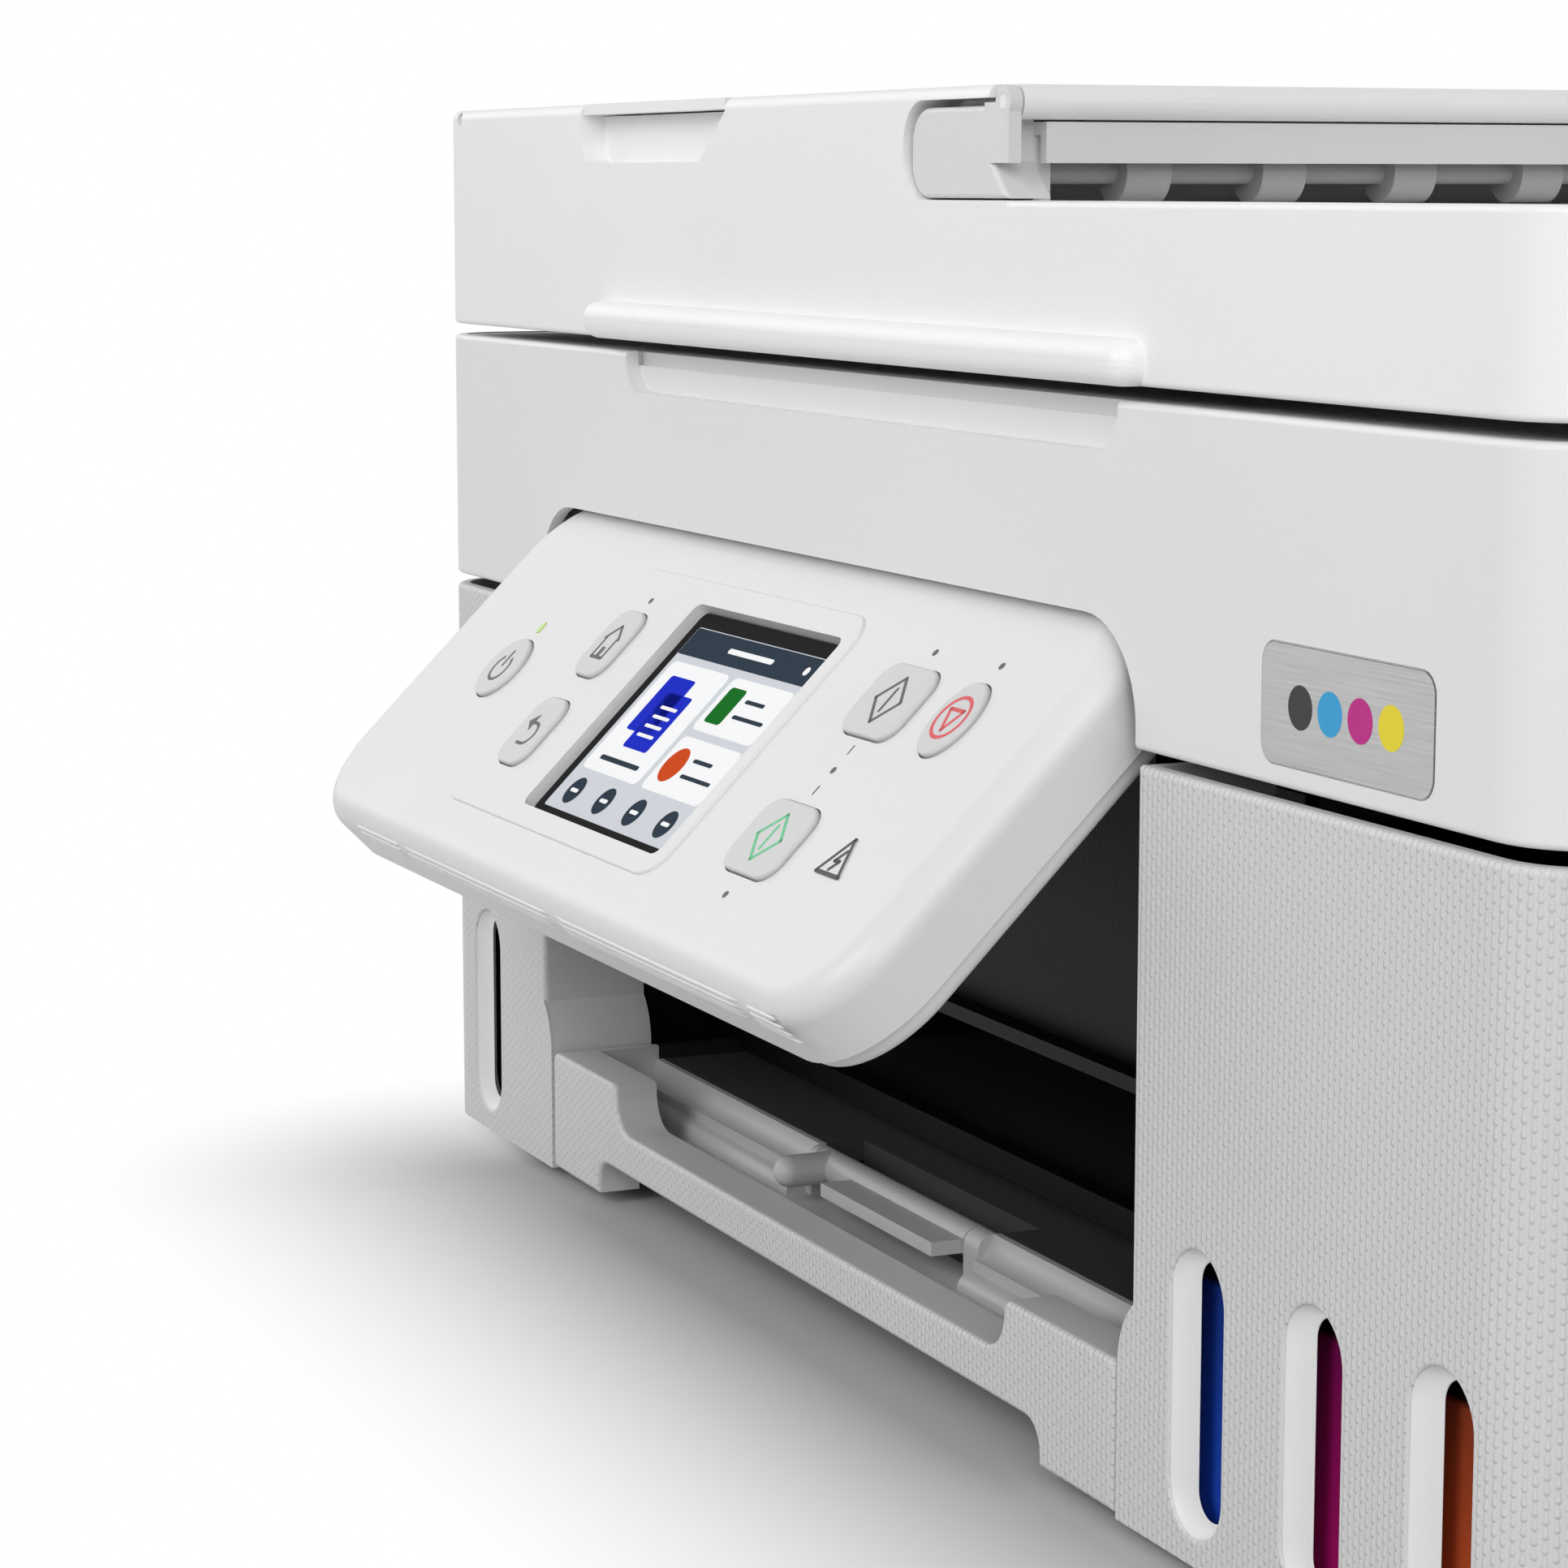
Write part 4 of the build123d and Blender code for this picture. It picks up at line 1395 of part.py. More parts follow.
# Feeder
CHEEK_Z = Z_HUMP - CHEEK_DROP
CHEEK_RIGHT = HUMP_RIGHT - CHEEK_INSET
TRAY_PIVOT_X = HUMP_RIGHT - TRAY_PIVOT_INSET
EXIT_X = HUMP_RIGHT - EXIT_INSET
EXIT_Z = Z_HUMP - EXIT_DROP
PICKUP_Z = Z_HUMP - PICKUP_DROP
SHELF_Z = EXIT_Z - SHELF_DROP
SHELF_X = (EXIT_X - SHELF_REACH[0], EXIT_X + SHELF_REACH[1])
BEAM_TOP = EXIT_Z + EXIT_DISC_R + ROLLER_ROOM + BEAM_THICKNESS
BEAM_Z = (BEAM_TOP - BEAM_HEIGHT, BEAM_TOP)
BEAM_X = (EXIT_X - BEAM_REACH[0], EXIT_X + BEAM_REACH[1])
FRAME_Y = (FRONT + FRAME_SINK, UPPER_BACK - FRAME_SINK)
PLATE_Y = (WELL_Y[0] + FIT_GAP, WELL_Y[1] - FIT_GAP)
with BuildPart() as adf_frame:
    with BuildSketch(Plane.XZ.offset(-FRAME_Y[0])) as cheek:
        with BuildLine():
            Polyline(
                (CUTOUT_LEFT + CHEEK_GAP, Z_DECK + FIT_GAP),
                (CUTOUT_LEFT + CHEEK_GAP, CHEEK_Z),
                (CHEEK_RIGHT, CHEEK_Z),
                (CHEEK_RIGHT, Z_DECK + CHEEK_FLARE),
                (CHEEK_RIGHT + CHEEK_FLARE, Z_DECK + FIT_GAP),
                close=True,
            )
        make_face()
        fillet(cheek.vertices().group_by(Axis.X)[0], CUTOUT_R - CHEEK_GAP)
    extrude(amount=-(FRAME_Y[1] - FRAME_Y[0]))
    fillet(adf_frame.faces().filter_by(Axis.Y).edges(), CHEEK_EDGE_R)
    slab((CUTOUT_LEFT, HUMP_RIGHT + SEAM_GAP), PLATE_Y, (Z_DECK_FLOOR, Z_HUMP), Mode.SUBTRACT)
    for y in (PLATE_Y[0] + FEEDER_PLATE / 2, PLATE_Y[1] - FEEDER_PLATE / 2):
        wall_y = (y - FEEDER_PLATE / 2, y + FEEDER_PLATE / 2)
        slab((PICKUP_X - 2 * PICKUP_R, CHEEK_RIGHT), wall_y, (Z_DECK_FLOOR, BEAM_Z[1]))
    slab(BEAM_X, PLATE_Y, (BEAM_Z[1] - BEAM_THICKNESS, BEAM_Z[1]))
    slab((BEAM_X[1] - BEAM_THICKNESS, BEAM_X[1]), PLATE_Y, BEAM_Z)
    slab(SHELF_X, PLATE_Y, (SHELF_Z - BEAM_THICKNESS, SHELF_Z))
    with Locations((SHELF_X[0], FRONT + ROLLER_FIRST + ROLLER_PITCH / 2, Z_DECK_FLOOR)):
        with Locations(*[(0, k * ROLLER_PITCH, 0) for k in range(ROLLER_COUNT - 1)]):
            Box(
                SHELF_X[1] - SHELF_X[0] + BEAM_THICKNESS,
                SHELF_RIB,
                SHELF_Z - Z_DECK_FLOOR,
                align=(Align.MIN, Align.CENTER, Align.MIN),
            )
    for y, inward in ((FRAME_Y[0], 1), (FRAME_Y[1], -1)):
        side_y = sorted((y, y + inward * BRACKET_THICKNESS))
        slab((CHEEK_RIGHT - BRACKET_REACH, TRAY_PIVOT_X + BRACKET_REACH), side_y, (BEAM_Z[0], TRAY_AXIS_Z))
        rod((TRAY_PIVOT_X, sum(side_y) / 2, TRAY_AXIS_Z), "Y", BRACKET_EYE_R, BRACKET_THICKNESS)
        link_y = sorted((y, y + inward * (LID_WALL + FEEDER_PLATE)))
        slab((CHEEK_RIGHT - 2 * BRACKET_REACH, CHEEK_RIGHT), link_y, (Z_DECK + CHEEK_FLARE, BEAM_Z[1]))
    hole_y = (FRAME_Y[0] + FRAME_Y[1]) / 2
    rod((TRAY_PIVOT_X, hole_y, TRAY_AXIS_Z), "Y", TRAY_PIN_R + RUN_CLEAR, BODY_DEPTH, Mode.SUBTRACT)
    exit_hole = PLATE_Y[1] - PLATE_Y[0] + 2 * SEAM_GAP
    rod((EXIT_X, hole_y, EXIT_Z), "Y", EXIT_SHAFT_R + RUN_CLEAR, exit_hole, Mode.SUBTRACT)
    rod((PICKUP_X, hole_y, PICKUP_Z), "Y", PICKUP_SHAFT_R + RUN_CLEAR, BODY_DEPTH, Mode.SUBTRACT)
adf_frame.part.label = "adf_frame"
export_step(adf_frame.part, "parts/adf_frame.step")

with BuildPart() as adf_exit_roller:
    shaft_length = PLATE_Y[1] - PLATE_Y[0] - 2 * SLIDE_GAP
    rod((EXIT_X, sum(PLATE_Y) / 2, EXIT_Z), "Y", EXIT_SHAFT_R, shaft_length)
    with Locations(*[(EXIT_X, FRONT + ROLLER_FIRST + k * ROLLER_PITCH, EXIT_Z) for k in range(ROLLER_COUNT)]):
        Cylinder(EXIT_DISC_R, EXIT_DISC_WIDTH, rotation=(90, 0, 0))
adf_exit_roller.part.label = "adf_exit_roller"
export_step(adf_exit_roller.part, "parts/adf_exit_roller.step")

with BuildPart() as adf_pickup_roller:
    shaft_length = PLATE_Y[1] - PLATE_Y[0] - 2 * SLIDE_GAP
    rod((PICKUP_X, sum(PLATE_Y) / 2, PICKUP_Z), "Y", PICKUP_SHAFT_R, shaft_length)
    rod((PICKUP_X, UPPER_Y, PICKUP_Z), "Y", PICKUP_R, PICKUP_WIDTH)
adf_pickup_roller.part.label = "adf_pickup_roller"
export_step(adf_pickup_roller.part, "parts/adf_pickup_roller.step")

COVER_Y = (WELL_Y[0] + SEAM_GAP, WELL_Y[1] - SEAM_GAP)
with BuildPart() as adf_cover:
    slab((COVER_LEFT, COVER_RIGHT), COVER_Y, (COVER_Z, Z_HUMP))
    slab(
        (GRIP_LEFT + SEAM_GAP, GRIP_RIGHT - SEAM_GAP),
        (FRONT + FIT_GAP, COVER_Y[0]),
        (BAND_Z, Z_HUMP),
    )
    fillet(adf_cover.edges().filter_by(Axis.Y).group_by(Axis.Z)[-1].sort_by(Axis.X)[0], COVER_THICKNESS / 2)
    pin_length = COVER_Y[1] - COVER_Y[0] + LID_WALL
    rod((COVER_AXIS_X, sum(COVER_Y) / 2, COVER_AXIS_Z), "Y", COVER_PIN_R, pin_length)
adf_cover.part.label = "adf_cover"
export_step(adf_cover.part, "parts/adf_cover.step")

TRAY_Y = (FRAME_Y[0] + BRACKET_THICKNESS + FIT_GAP, FRAME_Y[1] - BRACKET_THICKNESS - FIT_GAP)
with BuildPart() as document_tray:
    slab((COVER_RIGHT + TRAY_SEAM, TRAY_PIVOT_X), COVER_Y, (COVER_Z, Z_HUMP))
    rod((TRAY_PIVOT_X, (TRAY_Y[0] + TRAY_Y[1]) / 2, TRAY_AXIS_Z), "Y", TRAY_BARREL_R, TRAY_Y[1] - TRAY_Y[0])
    rod((TRAY_PIVOT_X, (TRAY_Y[0] + TRAY_Y[1]) / 2, TRAY_AXIS_Z), "Y", TRAY_PIN_R, FRAME_Y[1] - FRAME_Y[0])
document_tray.part.label = "document_tray"
export_step(document_tray.part, "parts/document_tray.step")
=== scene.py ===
"""Looks of an ink-tank printer with a tilting control panel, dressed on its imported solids.

Every piece is in metres in the solids' own frame: +X right, +Y back, +Z up, floor at Z = 0.
Sizes in the classes are millimetres, and MM turns them into metres.
"""

import logging
import math
from dataclasses import dataclass, field, replace
from enum import Enum

import bpy
import numpy as np
from mathutils import Matrix, Vector


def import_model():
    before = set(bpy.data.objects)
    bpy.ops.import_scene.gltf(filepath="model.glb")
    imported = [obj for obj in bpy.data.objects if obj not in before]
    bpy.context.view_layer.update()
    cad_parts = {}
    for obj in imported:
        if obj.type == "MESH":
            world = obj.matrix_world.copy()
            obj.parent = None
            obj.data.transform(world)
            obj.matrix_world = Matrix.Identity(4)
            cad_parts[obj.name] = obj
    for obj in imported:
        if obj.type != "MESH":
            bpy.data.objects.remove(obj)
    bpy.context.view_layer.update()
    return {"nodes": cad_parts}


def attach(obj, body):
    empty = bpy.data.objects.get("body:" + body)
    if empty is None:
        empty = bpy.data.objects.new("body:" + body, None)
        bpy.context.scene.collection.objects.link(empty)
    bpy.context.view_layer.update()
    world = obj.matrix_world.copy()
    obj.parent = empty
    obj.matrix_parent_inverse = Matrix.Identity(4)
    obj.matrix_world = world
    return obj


MM = 0.001
LOG = logging.getLogger("printer")
Socket = bpy.types.NodeSocket
Tree = bpy.types.NodeTree
Material = bpy.types.Material
Object = bpy.types.Object
Point = tuple[float, float]
Triple = tuple[float, float, float]

# Typical refractive indices.
ABS_IOR = 1.53
POLYPROPYLENE_IOR = 1.49
FLOAT_GLASS_IOR = 1.52

# A Mix node's sockets for colours: the share of the second, the first, the second, and the result.
SHARE, FIRST, SECOND, BLEND = 0, 6, 7, 2

# An arc has a point for every so many degrees, and at least so many points.
ARC_STEP = 8.0
ARC_POINTS = 8


def linear(hex_colour: str) -> tuple[float, float, float, float]:
    """Turns an sRGB hex colour into linear values by the sRGB curve.

    Args:
        hex_colour: six hex digits with a leading #.

    Returns:
        Linear red, green and blue, and an alpha of 1.
    """
    srgb = np.array([int(hex_colour[i:i + 2], 16) for i in (1, 3, 5)]) / 255
    lin = np.where(srgb <= 0.04045, srgb / 12.92, ((srgb + 0.055) / 1.055) ** 2.4)
    return (*map(float, lin), 1.0)


def per_metre(size_mm: float) -> float:
    """Scale of a pattern whose features are this many millimetres wide."""
    return 1 / (size_mm * MM)


def add_node(
    tree: Tree, kind: str, settings: dict | None = None, inputs: dict | None = None
) -> bpy.types.Node:
    """Adds a shader node with its settings, input values and incoming links.

    Args:
        tree: node tree that takes the node.
        kind: the node's type name.
        settings: property names with their values.
        inputs: input names or numbers, each with a value or with the output socket that feeds it.

    Returns:
        The new node.
    """
    node = tree.nodes.new(kind)
    for key, value in (settings or {}).items():
        setattr(node, key, value)
    for key, value in (inputs or {}).items():
        if isinstance(value, Socket):
            tree.links.new(value, node.inputs[key])
        else:
            node.inputs[key].default_value = value
    return node


@dataclass(frozen=True)
class Surface:
    """A finish: one material whose pattern lies on the Object coordinates of the piece."""

    name: str

    def build(self) -> Material:
        """Makes the material from the shader inputs that the finish works out.

        Returns:
            The new material.
        """
        material = bpy.data.materials.new(self.name)
        material.use_nodes = True
        tree = material.node_tree
        tree.nodes.clear()
        place = add_node(tree, "ShaderNodeTexCoord").outputs["Object"]
        shader = add_node(tree, "ShaderNodeBsdfPrincipled", None, self.inputs(tree, place))
        add_node(tree, "ShaderNodeOutputMaterial", None, {"Surface": shader.outputs[0]})
        return material

    def inputs(self, tree: Tree, place: Socket) -> dict:
        """Works out the Principled shader's inputs; each finish has its own."""
        raise NotImplementedError


@dataclass(frozen=True)
class MouldedPlastic(Surface):
    """ABS from a spark-eroded tool: a fine pebble grain breaks the light into a soft, even sheen.

    The real grain is about 0.2 mm. That is too fine to show in the render, so it is drawn coarser.
    Cells run together by melt, specks that are finer by speck_finer add their share of height, and the
    roughness varies by uneven.
    """

    colour: str
    shade: str
    roughness: float = 0.42
    grain_mm: float = 0.85
    depth_mm: float = 0.022
    specular: float = 0.5
    cloud_mm: float = 90.0
    melt: float = 0.6
    speck_finer: float = 2.6
    speck_share: float = 0.35
    uneven: float = 0.1

    def inputs(self, tree: Tree, place: Socket) -> dict:
        """Gives pebble cells with finer specks as bump, and a faint clouding of the colour.

        Args:
            tree: the material's node tree.
            place: Object coordinates.

        Returns:
            The Principled shader's inputs.
        """
        grain = per_metre(self.grain_mm)
        cells = add_node(
            tree, "ShaderNodeTexVoronoi", {"feature": "SMOOTH_F1"},
            {"Vector": place, "Scale": grain, "Smoothness": self.melt},
        )
        speck = add_node(
            tree, "ShaderNodeTexNoise", None,
            {"Vector": place, "Scale": self.speck_finer * grain, "Detail": 2.0},
        )
        cloud = add_node(
            tree, "ShaderNodeTexNoise", None,
            {"Vector": place, "Scale": per_metre(self.cloud_mm), "Detail": 3.0},
        )
        height = add_node(
            tree, "ShaderNodeMath", {"operation": "MULTIPLY_ADD"},
            {0: speck.outputs[0], 1: self.speck_share, 2: cells.outputs["Distance"]},
        )
        bump = add_node(
            tree, "ShaderNodeBump", None, {"Height": height.outputs[0], "Distance": self.depth_mm * MM}
        )
        sheen = add_node(
            tree, "ShaderNodeMath", {"operation": "MULTIPLY_ADD"},
            {0: speck.outputs[0], 1: self.uneven, 2: self.roughness - self.uneven / 2},
        )
        colour = add_node(
            tree, "ShaderNodeMix", {"data_type": "RGBA"},
            {SHARE: cloud.outputs[0], FIRST: linear(self.shade), SECOND: linear(self.colour)},
        )
        return {
            "Base Color": colour.outputs[BLEND],
            "Roughness": sheen.outputs[0],
            "Normal": bump.outputs[0],
            "IOR": ABS_IOR,
            "Specular IOR Level": self.specular,
        }


@dataclass(frozen=True)
class SeededPlastic(Surface):
    """ABS from an engraved tool: rows of small raised seeds give the face a woven, slightly grey look.

    Seeds stand in columns, every other column half a pitch lower. The column coordinate runs round the
    case's upright corners by arc length, so that the seeds keep their size on the sides too. Reveals that
    turn in from the face stay smooth, in a painted colour: on the towers it is lighter, a painted highlight
    for the light that falls into them. A seed's foot is given as a share of the pitch, and its neck as the
    share of its width that is left at the top.
    """

    colour: str
    shade: str
    reveal_painted: str
    corner_mm: float
    side_mm: float
    front_mm: float
    column_mm: float = 1.46
    pitch_mm: float = 1.95
    seed_mm: float = 0.5
    tail_mm: float = 1.5
    neck: float = 0.45
    depth_mm: float = 0.17
    skin_mm: float = 0.6
    speck_mm: float = 0.33
    cloud_mm: float = 100.0
    roughness: float = 0.5
    foot: float = 0.28
    speck_share: float = 0.12
    least_mm: float = 0.001

    def inputs(self, tree: Tree, place: Socket) -> dict:
        """Gives the height of round-footed seeds with a tail, each a dome that narrows upwards to a neck.

        The steps find the arc length round the case and the depth under its outer skin, the seed's column
        and row, the place in its cell in millimetres, and then the dome 1 - (distance / width) squared,
        which sinks along the tail as it narrows. Reveals under the skin stay smooth, in their painted colour,
        which on the towers is a painted highlight.
        The distance ahead stays over a least one, so that the angle round the corner is defined.

        Args:
            tree: the material's node tree.
            place: Object coordinates.

        Returns:
            The Principled shader's inputs.
        """
        axes = add_node(tree, "ShaderNodeSeparateXYZ", None, {0: place}).outputs
        speck, cloud = [
            add_node(
                tree, "ShaderNodeTexNoise", None,
                {"Vector": place, "Scale": per_metre(size), "Detail": detail},
            )
            for size, detail in ((self.speck_mm, 2.0), (self.cloud_mm, 3.0))
        ]
        wires: dict[str, Socket] = {"x": axes[0], "y": axes[1], "z": axes[2], "speck": speck.outputs[0]}
        flat = (self.side_mm - self.corner_mm) * MM
        steps = (
            ("across", "ABSOLUTE", "x"),
            ("beyond", "SUBTRACT", "across", flat),
            ("past", "MAXIMUM", "beyond", 0.0),
            ("ahead", "SUBTRACT", (self.front_mm + self.corner_mm) * MM, "y"),
            ("before", "MAXIMUM", "ahead", self.least_mm * MM),
            ("past_squared", "MULTIPLY", "past", "past"),
            ("round_squared", "MULTIPLY_ADD", "before", "before", "past_squared"),
            ("round", "SQRT", "round_squared"),
            ("skin", "SUBTRACT", self.corner_mm * MM, "round"),
            ("outer", "LESS_THAN", "skin", self.skin_mm * MM),
            ("turn", "ARCTAN2", "past", "before"),
            ("level", "MINIMUM", "across", flat),
            ("bent", "MULTIPLY_ADD", "turn", self.corner_mm * MM, "level"),
            ("aft", "MULTIPLY", "ahead", -1.0),
            ("rest", "MAXIMUM", "aft", 0.0),
            ("along", "ADD", "bent", "rest"),
            ("column", "DIVIDE", "along", self.column_mm * MM),
            ("number", "FLOOR", "column"),
            ("odd", "MODULO", "number", 2.0),
            ("up", "DIVIDE", "z", self.pitch_mm * MM),
            ("row", "MULTIPLY_ADD", "odd", 0.5, "up"),
            ("column_part", "FRACT", "column"),
            ("aside", "MULTIPLY_ADD", "column_part", self.column_mm, -0.5 * self.column_mm),
            ("row_part", "FRACT", "row"),
            ("above", "MULTIPLY_ADD", "row_part", self.pitch_mm, -self.foot * self.pitch_mm),
            ("risen", "MAXIMUM", "above", 0.0),
            ("tail", "DIVIDE", "risen", self.tail_mm),
            ("taper", "MINIMUM", "tail", 1.0),
            ("below", "MINIMUM", "above", 0.0),
            ("aside_squared", "MULTIPLY", "aside", "aside"),
            ("squares", "MULTIPLY_ADD", "below", "below", "aside_squared"),
            ("reach", "SQRT", "squares"),
            ("width", "MULTIPLY_ADD", "taper", (self.neck - 1) * self.seed_mm, self.seed_mm),
            ("ratio", "DIVIDE", "reach", "width"),
            ("share", "MINIMUM", "ratio", 1.0),
            ("share_squared", "MULTIPLY", "share", "share"),
            ("dome", "SUBTRACT", 1.0, "share_squared"),
            ("fade", "MULTIPLY_ADD", "taper", self.neck - 1, 1.0),
            ("tapered", "MULTIPLY", "dome", "fade"),
            ("seed", "MULTIPLY", "tapered", "outer"),
            ("height", "MULTIPLY_ADD", "speck", self.speck_share, "seed"),
        )
        for result, operation, *terms in steps:
            fed = {i: wires[term] if isinstance(term, str) else term for i, term in enumerate(terms)}
            wires[result] = add_node(tree, "ShaderNodeMath", {"operation": operation}, fed).outputs[0]
        bump = add_node(
            tree, "ShaderNodeBump", None, {"Height": wires["height"], "Distance": self.depth_mm * MM}
        )
        face = add_node(
            tree, "ShaderNodeMix", {"data_type": "RGBA"},
            {SHARE: cloud.outputs[0], FIRST: linear(self.shade), SECOND: linear(self.colour)},
        )
        # Under the skin the reveals take their painted colour; on the towers it is lighter, a painted
        # highlight.
        colour = add_node(
            tree, "ShaderNodeMix", {"data_type": "RGBA"},
            {SHARE: wires["outer"], FIRST: linear(self.reveal_painted), SECOND: face.outputs[BLEND]},
        )
        return {
            "Base Color": colour.outputs[BLEND],
            "Normal": bump.outputs[0],
            "Roughness": self.roughness,
            "IOR": ABS_IOR,
        }


@dataclass(frozen=True)
class DarkRearPlastic(Surface):
    """ABS that is pale in front and dark behind a straight line, where it lies in the bay: the dark rear is
    partly a darker moulding and partly painted shade of the bay.
    """

    front: Surface
    rear: str
    rear_from_mm: float

    def inputs(self, tree: Tree, place: Socket) -> dict:
        """Gives the front's surface, with the dark rear colour behind the line: partly a darker moulding and
        partly painted shade.

        Args:
            tree: the material's node tree.
            place: Object coordinates.

        Returns:
            The Principled shader's inputs.
        """
        given = self.front.inputs(tree, place)
        depth = add_node(tree, "ShaderNodeSeparateXYZ", None, {0: place}).outputs[1]
        behind = add_node(
            tree, "ShaderNodeMath", {"operation": "GREATER_THAN"}, {0: depth, 1: self.rear_from_mm * MM}
        )
        # Behind the line the colour is dark: partly a darker moulding, partly painted shade of the bay.
        colour = add_node(
            tree, "ShaderNodeMix", {"data_type": "RGBA"},
            {SHARE: behind.outputs[0], FIRST: given["Base Color"], SECOND: linear(self.rear)},
        )
        return {**given, "Base Color": colour.outputs[BLEND]}


@dataclass(frozen=True)
class InkFilledTank(Surface):
    """Clear polypropylene with dye ink behind it: deep colour up to the fill line, a dark tank above it.

    The colour deepens from the foot to the fill line, which is blurred and swells a little along the tank.
    """

    ink: str
    ink_edge: str
    empty: str
    fill_mm: float = 44.0
    foot_mm: float = 4.0
    blur_mm: float = 0.6
    wave_mm: float = 16.0
    swell_mm: float = 1.2
    roughness: float = 0.3
    uneven: float = 0.1
    specular: float = 0.03

    def inputs(self, tree: Tree, place: Socket) -> dict:
        """Gives the colour by height: ink that darkens upwards, then the empty tank over a blurred line.

        Args:
            tree: the material's node tree.
            place: Object coordinates.

        Returns:
            The Principled shader's inputs.
        """
        height = add_node(tree, "ShaderNodeSeparateXYZ", None, {0: place}).outputs[2]
        wave = add_node(
            tree, "ShaderNodeTexNoise", None,
            {"Vector": place, "Scale": per_metre(self.wave_mm), "Detail": 1.0},
        )
        level = add_node(
            tree, "ShaderNodeMath", {"operation": "MULTIPLY_ADD"},
            {0: wave.outputs[0], 1: self.swell_mm * MM, 2: height},
        )
        depth, over = [
            add_node(
                tree, "ShaderNodeMapRange", None,
                {"Value": level.outputs[0], "From Min": low * MM, "From Max": high * MM},
            )
            for low, high in (
                (self.foot_mm, self.fill_mm), (self.fill_mm - self.blur_mm, self.fill_mm + self.blur_mm),
            )
        ]
        ink = add_node(
            tree, "ShaderNodeMix", {"data_type": "RGBA"},
            {SHARE: depth.outputs[0], FIRST: linear(self.ink), SECOND: linear(self.ink_edge)},
        )
        colour = add_node(
            tree, "ShaderNodeMix", {"data_type": "RGBA"},
            {SHARE: over.outputs[0], FIRST: ink.outputs[BLEND], SECOND: linear(self.empty)},
        )
        rough = add_node(
            tree, "ShaderNodeMath", {"operation": "MULTIPLY_ADD"},
            {0: wave.outputs[0], 1: self.uneven, 2: self.roughness - self.uneven / 2},
        )
        return {
            "Base Color": colour.outputs[BLEND],
            "Roughness": rough.outputs[0],
            "IOR": POLYPROPYLENE_IOR,
            "Specular IOR Level": self.specular,
        }


@dataclass(frozen=True)
class BrushedMetal(Surface):
    """Rolled, drawn or anodised metal brushed along X: fine streaks draw the highlights out sideways.

    Real brush lines are about 0.05 mm. They are drawn coarser here, so that they show in the render.
    X is squeezed before the noise is laid, which draws the streaks out along it.
    """

    colour: str
    shade: str
    streak_mm: float = 0.25
    roughness: float = 0.34
    uneven: float = 0.22
    squeeze: float = 0.02
    depth_mm: float = 0.006

    def inputs(self, tree: Tree, place: Socket) -> dict:
        """Gives noise drawn out along X as colour, roughness and a shallow bump.

        Args:
            tree: the material's node tree.
            place: Object coordinates.

        Returns:
            The Principled shader's inputs.
        """
        drawn = add_node(
            tree, "ShaderNodeMapping", None, {"Vector": place, "Scale": (self.squeeze, 1.0, 1.0)}
        )
        streak = add_node(
            tree, "ShaderNodeTexNoise", None,
            {"Vector": drawn.outputs[0], "Scale": per_metre(self.streak_mm), "Detail": 3.0},
        )
        rough = add_node(
            tree, "ShaderNodeMath", {"operation": "MULTIPLY_ADD"},
            {0: streak.outputs[0], 1: self.uneven, 2: self.roughness - self.uneven / 2},
        )
        bump = add_node(
            tree, "ShaderNodeBump", None, {"Height": streak.outputs[0], "Distance": self.depth_mm * MM}
        )
        colour = add_node(
            tree, "ShaderNodeMix", {"data_type": "RGBA"},
            {SHARE: streak.outputs[0], FIRST: linear(self.shade), SECOND: linear(self.colour)},
        )
        return {
            "Base Color": colour.outputs[BLEND],
            "Roughness": rough.outputs[0],
            "Normal": bump.outputs[0],
            "Metallic": 1.0,
        }


@dataclass(frozen=True)
class GroundRubber(Surface):
    """Ground EPDM: matt and slightly dusty, with a sandy tooth.

    The tooth of about 0.1 mm is drawn four times as coarse, so that it shows in the render.
    """

    colour: str
    dust: str
    tooth_mm: float = 0.45
    depth_mm: float = 0.03
    roughness: float = 0.75
    specular: float = 0.3

    def inputs(self, tree: Tree, place: Socket) -> dict:
        """Gives sandy noise as bump and colour.

        Args:
            tree: the material's node tree.
            place: Object coordinates.

        Returns:
            The Principled shader's inputs.
        """
        sand = add_node(
            tree, "ShaderNodeTexNoise", None,
            {"Vector": place, "Scale": per_metre(self.tooth_mm), "Detail": 4.0},
        )
        bump = add_node(
            tree, "ShaderNodeBump", None, {"Height": sand.outputs[0], "Distance": self.depth_mm * MM}
        )
        colour = add_node(
            tree, "ShaderNodeMix", {"data_type": "RGBA"},
            {SHARE: sand.outputs[0], FIRST: linear(self.colour), SECOND: linear(self.dust)},
        )
        return {
            "Base Color": colour.outputs[BLEND],
            "Normal": bump.outputs[0],
            "Roughness": self.roughness,
            "Specular IOR Level": self.specular,
        }


@dataclass(frozen=True)
class PrintedInk(Surface):
    """Pad-printed or screen-printed ink, or a display's picture: a flat film with a faint mottle."""

    colour: str
    mottle: str
    roughness: float = 0.45
    glow: float = 0.0
    specular: float = 0.3
    mottle_mm: float = 1.4

    def inputs(self, tree: Tree, place: Socket) -> dict:
        """Gives a mottled colour, and light of the same colour where the film is lit from behind.

        Args:
            tree: the material's node tree.
            place: Object coordinates.

        Returns:
            The Principled shader's inputs.
        """
        mottle = add_node(
            tree, "ShaderNodeTexNoise", None,
            {"Vector": place, "Scale": per_metre(self.mottle_mm), "Detail": 2.0},
        )
        colour = add_node(
            tree, "ShaderNodeMix", {"data_type": "RGBA"},
            {SHARE: mottle.outputs[0], FIRST: linear(self.mottle), SECOND: linear(self.colour)},
        ).outputs[BLEND]
        lit = {"Emission Color": colour, "Emission Strength": self.glow} if self.glow else {}
        return {
            "Base Color": colour,
            "Roughness": self.roughness,
            "Specular IOR Level": self.specular,
            **lit,
        }


